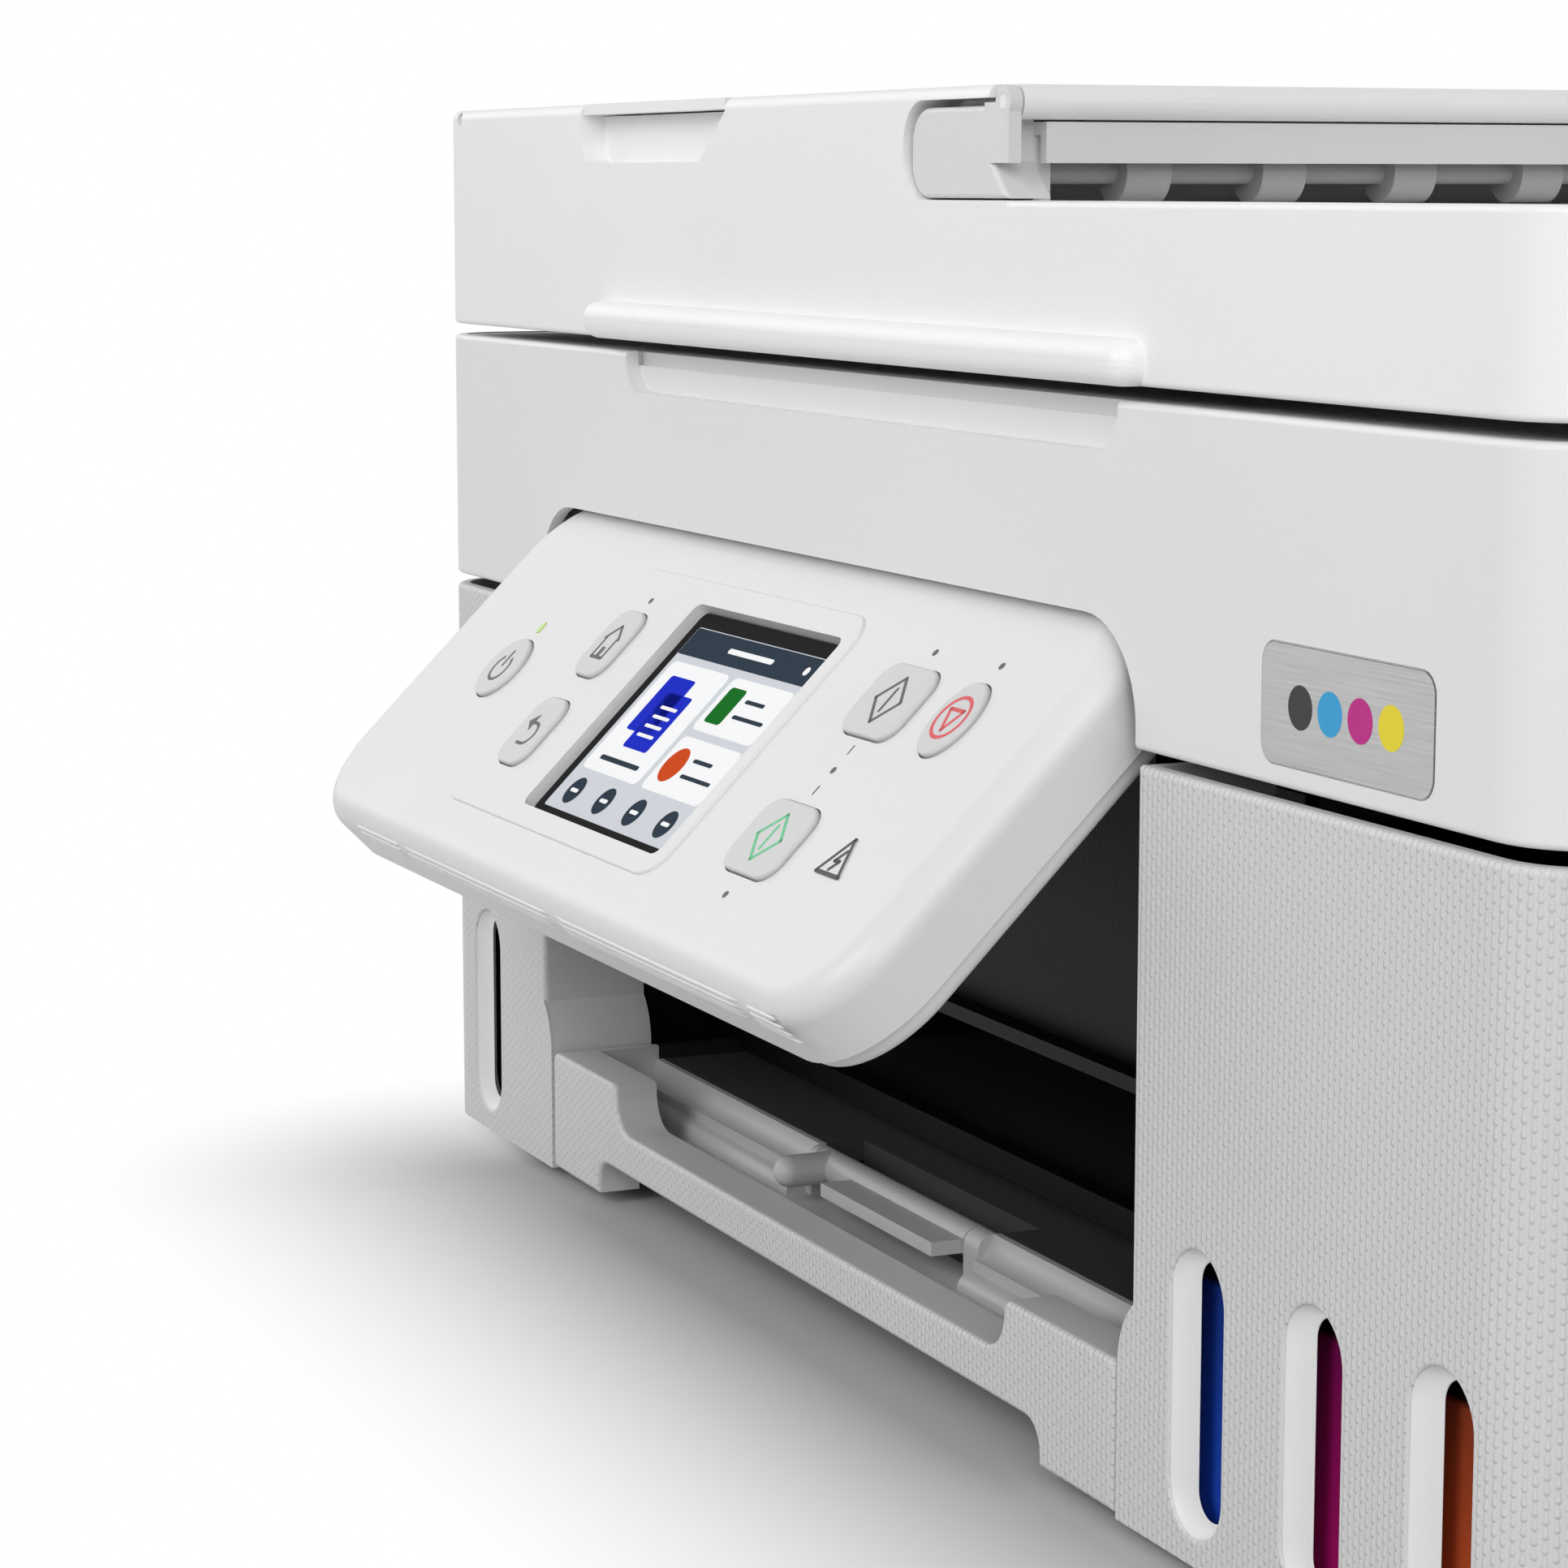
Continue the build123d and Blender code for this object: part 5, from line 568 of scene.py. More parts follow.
@dataclass(frozen=True)
class FloatGlass(Surface):
    """Float glass of the scanner bed: clear with a faint green cast, a little dust in the gloss."""

    colour: str
    dust_mm: float = 2.5
    haze: float = 0.06
    clear: float = 0.85

    def inputs(self, tree: Tree, place: Socket) -> dict:
        """Gives transmission with a slightly uneven roughness.

        Args:
            tree: the material's node tree.
            place: Object coordinates.

        Returns:
            The Principled shader's inputs.
        """
        dust = add_node(
            tree, "ShaderNodeTexNoise", None,
            {"Vector": place, "Scale": per_metre(self.dust_mm), "Detail": 4.0},
        )
        rough = add_node(
            tree, "ShaderNodeMath", {"operation": "MULTIPLY"}, {0: dust.outputs[0], 1: self.haze}
        )
        return {
            "Base Color": linear(self.colour),
            "Roughness": rough.outputs[0],
            "Transmission Weight": self.clear,
            "IOR": FLOAT_GLASS_IOR,
        }


@dataclass(frozen=True)
class Placement:
    """A plane in space: outlines are given by two coordinates on it and a height along its normal."""

    origin: Triple
    across: Triple
    up: Triple
    normal: Triple

    def at(self, outline: np.ndarray, height: float | np.ndarray) -> np.ndarray:
        """Places outline points: origin + across times u + up times v + normal times height.

        Args:
            outline: N by 2 coordinates along across and up, in millimetres.
            height: one height, or N heights, along the normal, in millimetres.

        Returns:
            N points in metres.
        """
        lift = np.broadcast_to(np.asarray(height, float), (len(outline),))
        basis = np.array([self.across, self.up, self.normal], float)
        return (np.array(self.origin) + np.column_stack([outline, lift]) @ basis) * MM


@dataclass
class Form:
    """Points and faces collected from several outlines and grids, made into one mesh."""

    points: list[np.ndarray] = field(default_factory=list)
    faces: list[tuple[int, ...]] = field(default_factory=list)
    count: int = 0

    def take(self, points: np.ndarray, faces: list[tuple[int, ...]]) -> None:
        """Adds points and faces.

        Args:
            points: array of N points, 3 wide, in metres.
            faces: faces that number the points from 0.
        """
        self.points.append(points)
        self.faces += [tuple(int(i) + self.count for i in face) for face in faces]
        self.count += len(points)

    def slab(self, outline: np.ndarray, place: Placement, low: float, high: float) -> None:
        """Adds a thin prism: the outline at two heights, joined by a ring of side faces.

        Args:
            outline: closed outline, N by 2, counter-clockwise seen from outside, in millimetres.
            place: plane that carries it.
            low: height of the hidden face over the plane, in millimetres.
            high: height of the shown face over the plane, in millimetres.
        """
        n = len(outline)
        ring = np.arange(n)
        after = np.roll(ring, -1)
        points = np.vstack([place.at(outline, low), place.at(outline, high)])
        sides = np.stack([ring, after, after + n, ring + n], 1)
        caps = [tuple(ring[::-1]), tuple(ring + n)]
        self.take(points, caps + [tuple(face) for face in sides])

    def grid(
        self, points: np.ndarray, closed_u: bool = False, closed_v: bool = False, flip: bool = False
    ) -> None:
        """Adds a surface given as a grid of points.

        Args:
            points: array of U by V points, 3 wide, in metres.
            closed_u: whether the last row of U joins the first.
            closed_v: whether the last row of V joins the first.
            flip: whether the faces turn the other way.
        """
        nu, nv = points.shape[:2]
        number = np.arange(nu * nv).reshape(nu, nv)
        if closed_u:
            number = np.vstack([number, number[:1]])
        if closed_v:
            number = np.hstack([number, number[:, :1]])
        a, b = number[:-1], number[1:]
        quads = np.stack([a[:, :-1], b[:, :-1], b[:, 1:], a[:, 1:]], -1).reshape(-1, 4)
        self.take(points.reshape(-1, 3), [tuple(q) for q in (quads[:, ::-1] if flip else quads)])

    def turned(self, profile: np.ndarray, centre: Point, place: Placement, sides: int = 24) -> None:
        """Adds a turned form: a profile of radius and height carried round a normal of the plane.

        Each point is centre + radius times (cos a, sin a) at its height, for angles a round the circle.

        Args:
            profile: M by 2 radii and heights from the rim to the middle, in millimetres.
            centre: where the axis meets the plane.
            place: plane that carries it.
            sides: steps round the circle.
        """
        turn = np.arange(sides) * 2 * math.pi / sides
        ring = np.stack([np.cos(turn), np.sin(turn)], -1)
        flat = np.array(centre) + ring[:, None, :] * profile[None, :, :1]
        lift = np.tile(profile[:, 1], sides)
        self.grid(place.at(flat.reshape(-1, 2), lift).reshape(sides, len(profile), 3), closed_u=True)

    def mesh(self, name: str, material: Material, smooth: bool = False) -> Object:
        """Makes the collected form an object at the origin.

        Args:
            name: the object's name.
            material: its material.
            smooth: whether its faces shade smoothly.

        Returns:
            The new object.
        """
        mesh = bpy.data.meshes.new(name)
        mesh.from_pydata(np.vstack(self.points).tolist(), [], self.faces)
        mesh.polygons.foreach_set("use_smooth", np.full(len(mesh.polygons), smooth))
        mesh.materials.append(material)
        mesh.update()
        made = bpy.data.objects.new(name, mesh)
        bpy.context.scene.collection.objects.link(made)
        return made

    def piece(self, name: str, finish: "Finish", body: str, slot: str, smooth: bool = False) -> None:
        """Makes the collected form a piece of the printer.

        Args:
            name: the piece's name.
            finish: its finish.
            body: the body that it moves with.
            slot: not used.
            smooth: whether its faces shade smoothly.
        """
        made = self.mesh(name, finish.material, smooth)
        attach(made, body)
        LOG.info("piece %s on %s: %d faces", name, body, len(made.data.polygons))


def rounded_box(centre: Point, size: Point, radius: float, steps: int = 8) -> np.ndarray:
    """Outline of a rectangle with round corners: four quarter circles in turn.

    Args:
        centre: middle of the rectangle.
        size: width and height.
        radius: corner radius.
        steps: points in each corner.

    Returns:
        Closed outline, N by 2, counter-clockwise.
    """
    turn = np.linspace(0, math.pi / 2, steps)
    quarter = np.arange(4).repeat(steps) * math.pi / 2 + np.tile(turn, 4)
    signs = np.array([(1, 1), (-1, 1), (-1, -1), (1, -1)]).repeat(steps, 0)
    inner = signs * (np.array(size) / 2 - radius)
    return np.array(centre) + inner + radius * np.column_stack([np.cos(quarter), np.sin(quarter)])


def stroke(start: Point, end: Point, width: float, steps: int = 6) -> np.ndarray:
    """Outline of a line with round ends: two half circles about its ends.

    Args:
        start: first end.
        end: second end.
        width: the line's width.
        steps: points in each half circle.

    Returns:
        Closed outline, N by 2, counter-clockwise.
    """
    a, b = np.array(start, float), np.array(end, float)
    heading = math.atan2(*(b - a)[::-1])
    turn = heading + np.linspace(-math.pi / 2, math.pi / 2, steps)
    half = width / 2 * np.column_stack([np.cos(turn), np.sin(turn)])
    return np.vstack([b + half, a - half])


def bow(centre: Point, radius: float, width: float, low: float, high: float) -> np.ndarray:
    """Outline of a piece of a ring: the outer arc out and the inner arc back.

    Args:
        centre: middle of the ring.
        radius: radius of the line's middle.
        width: the line's width.
        low: first angle, in degrees.
        high: last angle, in degrees.

    Returns:
        Closed outline, N by 2, counter-clockwise.
    """
    points = max(ARC_POINTS, int(abs(high - low) / ARC_STEP))
    turn = np.radians(np.linspace(low, high, points))
    ring = np.column_stack([np.cos(turn), np.sin(turn)])
    return np.array(centre) + np.vstack([ring * (radius + width / 2), ring[::-1] * (radius - width / 2)])


def disc(centre: Point, radius: float, sides: int = 32) -> np.ndarray:
    """Outline of a disc as a regular polygon.

    Args:
        centre: its middle.
        radius: its radius.
        sides: points on the circle.

    Returns:
        Closed outline, N by 2, counter-clockwise.
    """
    turn = np.arange(sides) * 2 * math.pi / sides
    return np.array(centre) + radius * np.column_stack([np.cos(turn), np.sin(turn)])


@dataclass(frozen=True)
class Case:
    """Sizes that the case, its towers and its panel share, in millimetres."""

    half_width: float = 208.0
    corner: float = 14.0
    depth: float = 370.0
    tilt: float = 45.0
    panel_drop: float = 77.5
    panel_edge: float = 5.0
    panel_face: float = 8.0
    hinge_height: float = 131.6
    bay: Point = (-146.5, 102.5)
    sill_depth: float = 40.5
    tub_depth: float = 22.5
    tray_lap: float = 0.8

    @property
    def front(self) -> float:
        """Front plane's place along Y, which centres the case with its tilted panel on the origin.

        The panel reaches forward of its hinge by its drop times sin tilt and its face times cos tilt, both
        taken to the middle of its rounded edge, and by that edge's radius.

        Returns:
            The place, in millimetres.
        """
        t = math.radians(self.tilt)
        thick = (self.panel_face - self.panel_edge) * math.cos(t)
        out = thick + (self.panel_drop - self.panel_edge) * math.sin(t)
        return (out + self.panel_edge - self.panel_face - self.depth) / 2

    @property
    def back(self) -> float:
        """Back plane's place along Y."""
        return self.front + self.depth

    @property
    def panel(self) -> Placement:
        """The panel's plane through its hinge.

        Returns:
            A plane whose up runs up the face and whose normal points at the user.
        """
        t = math.radians(self.tilt)
        return Placement(
            (0.0, self.front + self.panel_face, self.hinge_height),
            (1.0, 0.0, 0.0),
            (0.0, math.sin(t), math.cos(t)),
            (0.0, -math.cos(t), math.sin(t)),
        )

    @property
    def face(self) -> Placement:
        """The case's front plane: up is height over the floor, the normal points forward."""
        return Placement((0.0, self.front, 0.0), (1.0, 0.0, 0.0), (0.0, 0.0, 1.0), (0.0, -1.0, 0.0))

    @property
    def rear(self) -> Placement:
        """The case's back plane: across runs to -X, up is height over the floor, the normal points back."""
        return Placement((0.0, self.back, 0.0), (-1.0, 0.0, 0.0), (0.0, 0.0, 1.0), (0.0, 1.0, 0.0))

    @property
    def underside(self) -> Placement:
        """The floor plane seen from below: up runs to -Y, the normal points down."""
        return Placement((0.0, 0.0, 0.0), (1.0, 0.0, 0.0), (0.0, -1.0, 0.0), (0.0, 0.0, -1.0))


CASE = Case()


class Finish(Enum):
    """Every finish of the printer with the material that it is."""

    # White case plastics: the grain gives a soft, even sheen, finer on the panel, polished on its ridges.
    # The lid's pieces take the case's white painted lighter: a painted highlight for the light that falls on
    # the lid's top.
    LID = MouldedPlastic("abs_white_painted_top_light", "#f8f8f8", "#f2f2f2")
    WHITE = MouldedPlastic("abs_white_moulded", "#eeeeee", "#e8e8e8")
    PANEL = MouldedPlastic("abs_white_fine_grained", "#e4e4e4", "#dedede", 0.4, 0.7, 0.016)
    RIDGE = MouldedPlastic("abs_white_polished", "#e2e2e2", "#dcdcdc", 0.36, 0.7, 0.002)
    FLARE = MouldedPlastic("abs_white_satin", "#ececec", "#e6e6e6", 0.38, 0.85, 0.01)
    # Seeded fronts: a woven look, a shade greyer than the plain case.
    # On the towers the reveals are painted lighter: a painted highlight where light falls into them.
    TOWER = SeededPlastic(
        "abs_white_seeded", "#dadada", "#d4d4d4", "#e2e2e2", CASE.corner, CASE.half_width, CASE.front
    )
    # The cassette's black behind the line is partly its dark tub and partly painted shade of the bay.
    CASSETTE = DarkRearPlastic(
        "abs_seeded_dark_rear_and_shade", replace(TOWER, reveal_painted="#d2d2d2"), "#0a0a0b", CASE.front + CASE.tub_depth
    )
    # Grey plastics of frames, guides and keys: a satin sheen that lifts them off the white.
    PALE = MouldedPlastic("abs_pale_grey_moulded", "#e4e4e4", "#dcdcdc", 0.45)
    GUIDE = MouldedPlastic("abs_grey_moulded", "#c6c6c6", "#bdbdbd", 0.42, 0.7, 0.015, 0.4)
    # The tray's dark grey behind its ridge is partly a darker moulding and partly painted shade of the bay.
    TRAY = DarkRearPlastic(
        "abs_grey_dark_rear_and_shade", GUIDE, "#464647", CASE.front + CASE.tub_depth + CASE.tray_lap
    )
    KEY = MouldedPlastic("abs_grey_fine_grained", "#d0d0d0", "#c9c9c9", 0.4, 0.6, 0.02)
    # Black and dark plastics inside: so little gloss that the bay reads as a deep shadow.
    BLACK = MouldedPlastic("abs_black_moulded", "#0d0d0e", "#08080a", 0.5, 0.9, 0.03, 0.12)
    DARK = MouldedPlastic("abs_dark_grey_moulded", "#2c2c2e", "#242426", 0.5, 0.9, 0.03, 0.3)
    # Tanks of clear polypropylene: strips of deep ink behind the windows, darker towards the fill line.
    INK_BLACK = InkFilledTank("polypropylene_black_ink", "#0b0b0d", "#101013", "#050506")
    INK_CYAN = InkFilledTank("polypropylene_cyan_ink", "#204ebc", "#1b3484", "#0a0b10")
    INK_MAGENTA = InkFilledTank("polypropylene_magenta_ink", "#a51467", "#6a0e48", "#0e070a")
    INK_YELLOW = InkFilledTank("polypropylene_yellow_ink", "#c8562c", "#863922", "#100a07")
    # Ground rubber of feet, belt and rollers: no gloss, a dusty tooth.
    RUBBER = GroundRubber("epdm_black_ground", "#1b1b1c", "#2b2b2c")
    ROLLER = GroundRubber("epdm_grey_ground", "#a9a9a9", "#bababa")
    # Metals: highlights drawn out sideways, warm on the brass, grey and even on the badge.
    STEEL = BrushedMetal("steel_rolled", "#c9cacb", "#a9abad")
    BRASS = BrushedMetal("brass_drawn", "#d0b06a", "#b39350", 0.3, 0.3)
    BADGE = BrushedMetal("aluminium_brushed", "#cfcfcf", "#a2a2a2", 0.35, 0.38)
    # Scanner bed: clear, with a green cast where it is thick.
    GLASS = FloatGlass("float_glass_clear", "#e6f2ee")
    # Display films: flat colours with a little light from behind and no gloss, in a black surround.
    BEZEL = PrintedInk("lcd_surround_black", "#303031", "#2b2b2c", 0.4, 0.0, 0.0)
    SCREEN_BACK = PrintedInk("lcd_film_pale", "#d9dce2", "#d5d8df", 0.3, 0.05, 0.0)
    SCREEN_TILE = PrintedInk("lcd_film_white", "#fafafb", "#f6f7f8", 0.3, 0.1, 0.0)
    SCREEN_SLATE = PrintedInk("lcd_film_slate", "#3b4653", "#37424f", 0.3, 0.02, 0.0)
    SCREEN_BLUE = PrintedInk("lcd_film_blue", "#2a38cf", "#2533c6", 0.3, 0.04, 0.0)
    SCREEN_GREEN = PrintedInk("lcd_film_green", "#23782f", "#1f7029", 0.3, 0.04, 0.0)
    SCREEN_ORANGE = PrintedInk("lcd_film_orange", "#d9552a", "#d04d23", 0.3, 0.04, 0.0)
    # Pad-printed marks: thin matt lines. Screen-printed dots: clean full colours on the metal.
    MARK = PrintedInk("pad_ink_grey", "#48494b", "#434446")
    MARK_PALE = PrintedInk("pad_ink_pale", "#9a9c9f", "#929497")
    MARK_DARK = PrintedInk("pad_ink_black", "#2a2b2c", "#242526")
    MARK_RED = PrintedInk("pad_ink_red", "#dd4a50", "#d5444a")
    MARK_GREEN = PrintedInk("pad_ink_green", "#62c78f", "#5bbf88")
    DOT_CYAN = PrintedInk("screen_ink_cyan", "#37a6dc", "#309fd6")
    DOT_MAGENTA = PrintedInk("screen_ink_magenta", "#c4208a", "#bb1c83")
    DOT_YELLOW = PrintedInk("screen_ink_yellow", "#f0df34", "#e9d72e")
    # Solder mask of the board: dark green lacquer. Moulded acrylic lamps: glossy, one green, one clear.
    BOARD = PrintedInk("solder_mask_green", "#1d5a34", "#174b2b", 0.35)
    LAMP = PrintedInk("acrylic_green_moulded", "#bde17e", "#bbdf7a", 0.25, 0.0, 0.5)
    LENS = PrintedInk("acrylic_clear_moulded", "#dedede", "#d8d8d8", 0.3)

    @property
    def material(self) -> Material:
        """The finish's material, made the first time it is asked for."""
        return bpy.data.materials.get(self.value.name) or self.value.build()


@dataclass
class Shell:
    """The moulded and bought-in pieces that keep their solids' shapes and only take a finish."""

    finishes: dict[Finish, tuple[str, ...]] = field(default_factory=lambda: {
        Finish.LID: ("document_cover", "adf_cover", "document_tray"),
        Finish.WHITE: ("rear_cover", "scanner_housing"),
        Finish.TOWER: ("left_side_cover", "right_side_cover"),
        Finish.CASSETTE: ("paper_cassette",),
        Finish.PALE: ("scanner_top", "adf_frame", "panel_back"),
        Finish.PANEL: ("panel_front", "cover_backing"),
        Finish.KEY: (
            "power_button", "home_button", "back_button", "start_black_button", "stop_button",
            "start_colour_button",
        ),
        Finish.TRAY: ("cassette_cover",),
        Finish.GUIDE: ("paper_guide_left", "paper_guide_right", "output_support"),
        Finish.BLACK: (
            "inner_frame", "platen", "panel_bracket", "power_inlet", "carriage", "scan_sensor", "base_tub",
        ),
        Finish.DARK: ("purge_unit", "power_supply", "print_heads", "tank_cap_black"),
        Finish.INK_BLACK: ("ink_tank_black",),
        Finish.INK_CYAN: ("ink_tank_cyan", "tank_cap_cyan"),
        Finish.INK_MAGENTA: ("ink_tank_magenta", "tank_cap_magenta"),
        Finish.INK_YELLOW: ("ink_tank_yellow", "tank_cap_yellow"),
        Finish.RUBBER: ("feet", "drive_belt", "feed_roller", "exit_roller"),
        Finish.ROLLER: ("adf_exit_roller", "adf_pickup_roller"),
        Finish.STEEL: (
            "carriage_rail", "carriage_motor", "hinge_pins", "lid_pins", "belt_pulley_drive",
            "belt_pulley_idle",
        ),
        Finish.BADGE: ("badge_plate",),
        Finish.GLASS: ("platen_glass",),
        Finish.BEZEL: ("lcd_module",),
        Finish.BOARD: ("main_board",),
        Finish.LAMP: ("power_lamp",),
        Finish.LENS: ("alarm_lamp",),
    })

    def dress(self, nodes: dict[str, Object]) -> None:
        """Gives every solid its finish.

        Args:
            nodes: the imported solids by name.
        """
        for finish, names in self.finishes.items():
            for name in names:
                nodes[name].data.materials.clear()
                nodes[name].data.materials.append(finish.material)
                LOG.info("solid %s in %s", name, finish.value.name)


@dataclass(frozen=True)
class Plate:
    """A round-cornered plate of the display's picture: its two X, its two drops and its corner radius."""

    x: Point
    drop: Point
    corner: float

    def outline(self) -> np.ndarray:
        """Outline on the panel's plane."""
        centre = (sum(self.x) / 2, -sum(self.drop) / 2)
        return rounded_box(centre, (self.x[1] - self.x[0], self.drop[1] - self.drop[0]), self.corner)


@dataclass(frozen=True)
class Bar:
    """A round-ended bar of the display's picture: its two X, its drop and its width."""

    x: Point
    drop: float
    width: float

    def outline(self) -> np.ndarray:
        """Outline on the panel's plane."""
        return stroke((self.x[0], -self.drop), (self.x[1], -self.drop), self.width)


@dataclass(frozen=True)
class Spot:
    """A round spot of the display's picture: its X, its drop and its radius."""

    x: float
    drop: float
    radius: float

    def outline(self) -> np.ndarray:
        """Outline on the panel's plane."""
        return disc((self.x, -self.drop), self.radius)


@dataclass
class Display:
    """What the lit display shows: a header, one tall tile, two low tiles and a row of round marks.

    Places are X and the drop down the panel's face, in millimetres; heights are over the hinge plane.
    """

    glass: float = 6.4
    layer: float = 0.05
    back: Plate = Plate((-42.2, 13.6), (17.2, 59.4), 0.6)
    header: Plate = Plate((-42.0, 13.4), (17.4, 23.4), 0.4)
    title: Bar = Bar((-23.3, -5.3), 20.4, 1.1)
    status: Spot = Spot(9.0, 20.4, 0.9)
    tiles: tuple[Plate, ...] = (
        Plate((-40.6, -15.3), (25.0, 50.2), 1.6),
        Plate((-13.3, 12.0), (25.0, 36.8), 1.6),
        Plate((-13.3, 12.0), (38.4, 50.2), 1.6),
    )
    sheets: tuple[Plate, ...] = (
        Plate((-36.4, -25.6), (28.0, 40.6), 0.8),
        Plate((-32.2, -21.4), (31.4, 44.0), 0.8),
    )
    lines: tuple[Bar, ...] = tuple(Bar((-30.0, -23.6), drop, 0.7) for drop in (34.6, 36.7, 38.8, 40.9))
    bars: tuple[Bar, ...] = (
        Bar((-36.0, -19.6), 47.2, 1.0),
        Bar((-2.1, 4.9), 29.0, 0.8),
        Bar((-2.1, 9.5), 32.4, 0.8),
        Bar((-2.1, 4.9), 42.4, 0.8),
        Bar((-2.1, 9.5), 45.8, 0.8),
    )
    note: Plate = Plate((-11.3, -4.7), (27.0, 34.8), 0.9)
    ball: Spot = Spot(-8.0, 44.3, 3.7)
    marks: tuple[Spot, ...] = tuple(Spot(x, 55.0, 2.9) for x in (-35.2, -21.3, -7.4, 6.5))
    dash_reach: float = 1.2
    dash_width: float = 0.8

    def build(self) -> None:
        """Builds the picture from the back layer to the front, each layer of thin plates on the one below."""
        reach, width = self.dash_reach, self.dash_width
        dashes = [Bar((mark.x - reach, mark.x + reach), mark.drop, width) for mark in self.marks]
        layers = (
            ("screen_back", Finish.SCREEN_BACK, 0, [self.back]),
            ("screen_header", Finish.SCREEN_SLATE, 1, [self.header, *self.marks]),
            ("screen_tiles", Finish.SCREEN_TILE, 1, self.tiles),
            ("screen_blue", Finish.SCREEN_BLUE, 2, self.sheets),
            ("screen_lines", Finish.SCREEN_TILE, 3, self.lines),
            ("screen_bars", Finish.SCREEN_SLATE, 2, self.bars),
            ("screen_green", Finish.SCREEN_GREEN, 2, [self.note]),
            ("screen_orange", Finish.SCREEN_ORANGE, 2, [self.ball]),
            ("screen_glyphs", Finish.SCREEN_TILE, 2, [*dashes, self.title, self.status]),
        )
        for name, finish, level, shapes in layers:
            form = Form()
            low = self.glass + level * self.layer
            for shape in shapes:
                form.slab(shape.outline(), CASE.panel, low, low + self.layer)
            form.piece(name, finish, "panel", "display")


@dataclass(frozen=True)
class Drawing:
    """A line drawing about its middle, in millimetres.

    An arc is a centre, a radius, and a first and last angle in degrees. Loops are closed lines. A box is a
    centre, a size and a corner radius, and fills are corners of filled shapes.
    """

    arcs: tuple[tuple[Point, float, float, float], ...] = ()
    loops: tuple[tuple[Point, ...], ...] = ()
    lines: tuple[tuple[Point, ...], ...] = ()
    boxes: tuple[tuple[Point, Point, float], ...] = ()
    fills: tuple[tuple[Point, ...], ...] = ()
    box_steps: int = 4

    def outlines(self, middle: Point, width: float) -> list[np.ndarray]:
        """Lays the drawing about a middle, its lines as round-ended strokes.

        Args:
            middle: where it goes on the plane.
            width: its lines' width.

        Returns:
            Closed outlines, each N by 2.
        """
        runs = [(*loop, loop[0]) for loop in self.loops] + list(self.lines)
        drawn = [bow(centre, radius, width, *ends) for centre, radius, *ends in self.arcs]
        drawn += [stroke(a, b, width) for run in runs for a, b in zip(run, run[1:])]
        drawn += [rounded_box(*box, self.box_steps) for box in self.boxes]
        drawn += [np.array(fill) for fill in self.fills]
        return [np.array(middle) + outline for outline in drawn]


@dataclass(frozen=True)
class KeyPrint:
    """A key's print: the body that it moves with, the key's middle and top, the ink and the drawing."""

    body: str
    middle: Point
    top: float
    ink: Finish
    drawing: Drawing


# The panel's plain symbols: an open ring, a house, a hook, a diamond, a wheel and a flash in a triangle.
RING = Drawing(arcs=(((0.0, -0.4), 3.0, 125.0, 415.0),), lines=(((0.0, 0.2), (0.0, 3.6)),))
HOUSE = Drawing(
    lines=(
        ((-3.1, 0.9), (0.0, 3.9), (3.1, 0.9)),
        ((-2.4, 0.9), (-2.4, -3.6), (2.4, -3.6), (2.4, 0.9)),
    ),
    boxes=(((0.0, -2.3), (1.5, 2.4), 0.3),),
)
HOOK = Drawing(
    arcs=(((0.4, -0.9), 2.4, -90.0, 90.0),),
    lines=(((0.4, 1.5), (-1.0, 1.5)), ((0.4, -3.3), (-1.6, -3.3))),
    fills=(((-3.6, 1.5), (-0.9, -0.5), (-0.9, 3.5)),),
)
DIAMOND = Drawing(
    loops=(((-4.4, 0.0), (0.0, 4.6), (4.4, 0.0), (0.0, -4.6)),), lines=(((0.0, -2.3), (0.0, 2.3)),)
)
WHEEL = Drawing(
    arcs=(((0.0, 0.0), 4.0, 0.0, 180.0), ((0.0, 0.0), 4.0, 180.0, 360.0)),
    loops=(((-2.2, 1.5), (2.2, 1.5), (0.0, -2.6)),),
)
FLASH = Drawing(
    loops=(((-3.9, -2.3), (3.9, -2.3), (0.0, 4.5)),),
    lines=(((0.6, 2.2), (-0.8, 0.2), (0.8, 0.2), (-0.5, -1.5)),),
)


class Symbol(Enum):
    """The plain symbols of the panel's keys."""

    POWER = KeyPrint("key_power", (-101.7, -37.3), 8.8, Finish.MARK, RING)
    HOME = KeyPrint("key_home", (-64.6, -26.6), 9.3, Finish.MARK, HOUSE)
    BACK = KeyPrint("key_back", (-64.6, -48.0), 9.3, Finish.MARK, HOOK)
    START_PLAIN = KeyPrint("key_start_black", (47.6, -22.8), 8.8, Finish.MARK, DIAMOND)
    START_COLOUR = KeyPrint("key_start_colour", (47.6, -51.7), 8.8, Finish.MARK_GREEN, DIAMOND)
    STOP = KeyPrint("key_stop", (70.1, -22.9), 8.8, Finish.MARK_RED, WHEEL)


